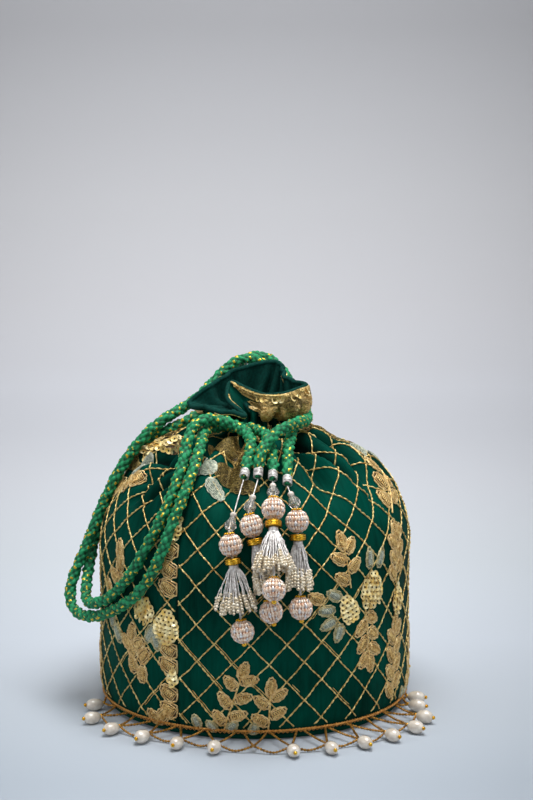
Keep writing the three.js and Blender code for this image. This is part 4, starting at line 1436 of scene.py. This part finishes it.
def paperSweep():
    bm = bmesh.new()
    bmesh.ops.create_grid(bm, x_segments=1, y_segments=40, size=1)
    flat = sweep["turnAt"] - sweep["near"]
    bend = sweep["turnRadius"] * pi / 2
    total = flat + bend + sweep["height"]
    for vert in bm.verts:
        along = (vert.co.y + 1) / 2 * total
        y, z = sweep["near"] + min(along, flat), 0
        if along > flat:
            turn = min(1, (along - flat) / bend) * pi / 2
            y += sweep["turnRadius"] * math.sin(turn)
            z += sweep["turnRadius"] * (1 - math.cos(turn)) + max(0, along - flat - bend)
        vert.co = (vert.co.x * sweep["width"] / 2, y, z - 0.05 * mm)
    bmesh.ops.recalc_face_normals(bm, faces=bm.faces)
    material, tree, shader = newMaterial("pale backdrop paper", {"Roughness": 0.9, "Specular IOR Level": 0.1})
    coords = addNode(tree, "ShaderNodeTexCoord").outputs["Object"]
    parts = addNode(tree, "ShaderNodeSeparateXYZ", links={"Vector": coords})
    depth = addNode(tree, "ShaderNodeMapRange",
                    values={"From Min": sweep["toneNear"], "From Max": sweep["toneFar"]},
                    links={"Value": parts.outputs["Y"]})
    # Painted light and shade: the paper is darker on the near floor, brightest further back where the lamps
    # fall, and darker again up the curve and wall
    ramp = addNode(tree, "ShaderNodeValToRGB", links={"Fac": depth.outputs["Result"]})
    span = sweep["toneFar"] - sweep["toneNear"]
    for place, tone in sweep["paperAndFalloffTones"]:
        ramp.color_ramp.elements.new((place - sweep["toneNear"]) / span).color = hexColour(tone)
    ramp.color_ramp.elements[0].color = hexColour(sweep["paperAndFalloffTones"][0][1])
    ramp.color_ramp.elements[-1].color = hexColour(sweep["paperAndFalloffTones"][-1][1])
    # Painted shade: the paper darkens a little to both sides, as seen from the camera's place
    away = addNode(tree, "ShaderNodeMath", {"operation": "SUBTRACT"}, {1: sweep["eye"]},
                   {0: parts.outputs["Y"]})
    aside = addNode(tree, "ShaderNodeMath", {"operation": "DIVIDE"},
                    links={0: parts.outputs["X"], 1: away.outputs["Value"]})
    slope = addNode(tree, "ShaderNodeMath", {"operation": "MULTIPLY_ADD"},
                    {1: sweep["sideShade"], 2: sweep["sideLean"]},
                    {0: aside.outputs["Value"]})
    shade = addNode(tree, "ShaderNodeMath", {"operation": "MULTIPLY", "use_clamp": True},
                    links={0: slope.outputs["Value"], 1: aside.outputs["Value"]})
    corner = addNode(tree, "ShaderNodeMath", {"operation": "MINIMUM"}, {1: sweep["deepestShade"]},
                     {0: shade.outputs["Value"]})
    paper = addNode(tree, "ShaderNodeMix", {"data_type": "RGBA"}, {"B": hexColour("#000000")},
                    {"Factor": corner.outputs["Value"], "A": ramp.outputs["Color"]})
    tree.links.new(paper.outputs["Result"], shader.inputs["Base Color"])
    return meshObject("paper_sweep", bm, material)


paperSweep()
lights = [
    dict(name="softbox above", place=(0.1, -0.15, 1.0), aim=(0, 0, 0.08), size=0.6, power=9),
    dict(name="softbox left", place=(-1.1, -0.7, 0.6), aim=(0, 0, 0.08), size=0.8, power=3.6),
    dict(name="softbox right", place=(1.1, -0.7, 0.7), aim=(0, 0, 0.08), size=0.8, power=3.2),
    dict(name="backdrop light", place=(0, 0.3, 1.6), aim=(0, 1.4, 0.5), size=1.2, power=8),
]
for light in lights:
    lamp = bpy.data.lights.new(light["name"], "AREA")
    lamp.size = light["size"]
    lamp.energy = light["power"]
    lampObject = bpy.data.objects.new(light["name"], lamp)
    lampObject.location = light["place"]
    direction = Vector(light["aim"]) - Vector(light["place"])
    lampObject.rotation_euler = direction.to_track_quat("-Z", "Y").to_euler()
    scene.collection.objects.link(lampObject)
world = bpy.data.worlds.new("studio")
world.use_nodes = True
background = world.node_tree.nodes["Background"]
background.inputs["Color"].default_value = hexColour("#E4E8EE")
background.inputs["Strength"].default_value = 0.3
scene.world = world
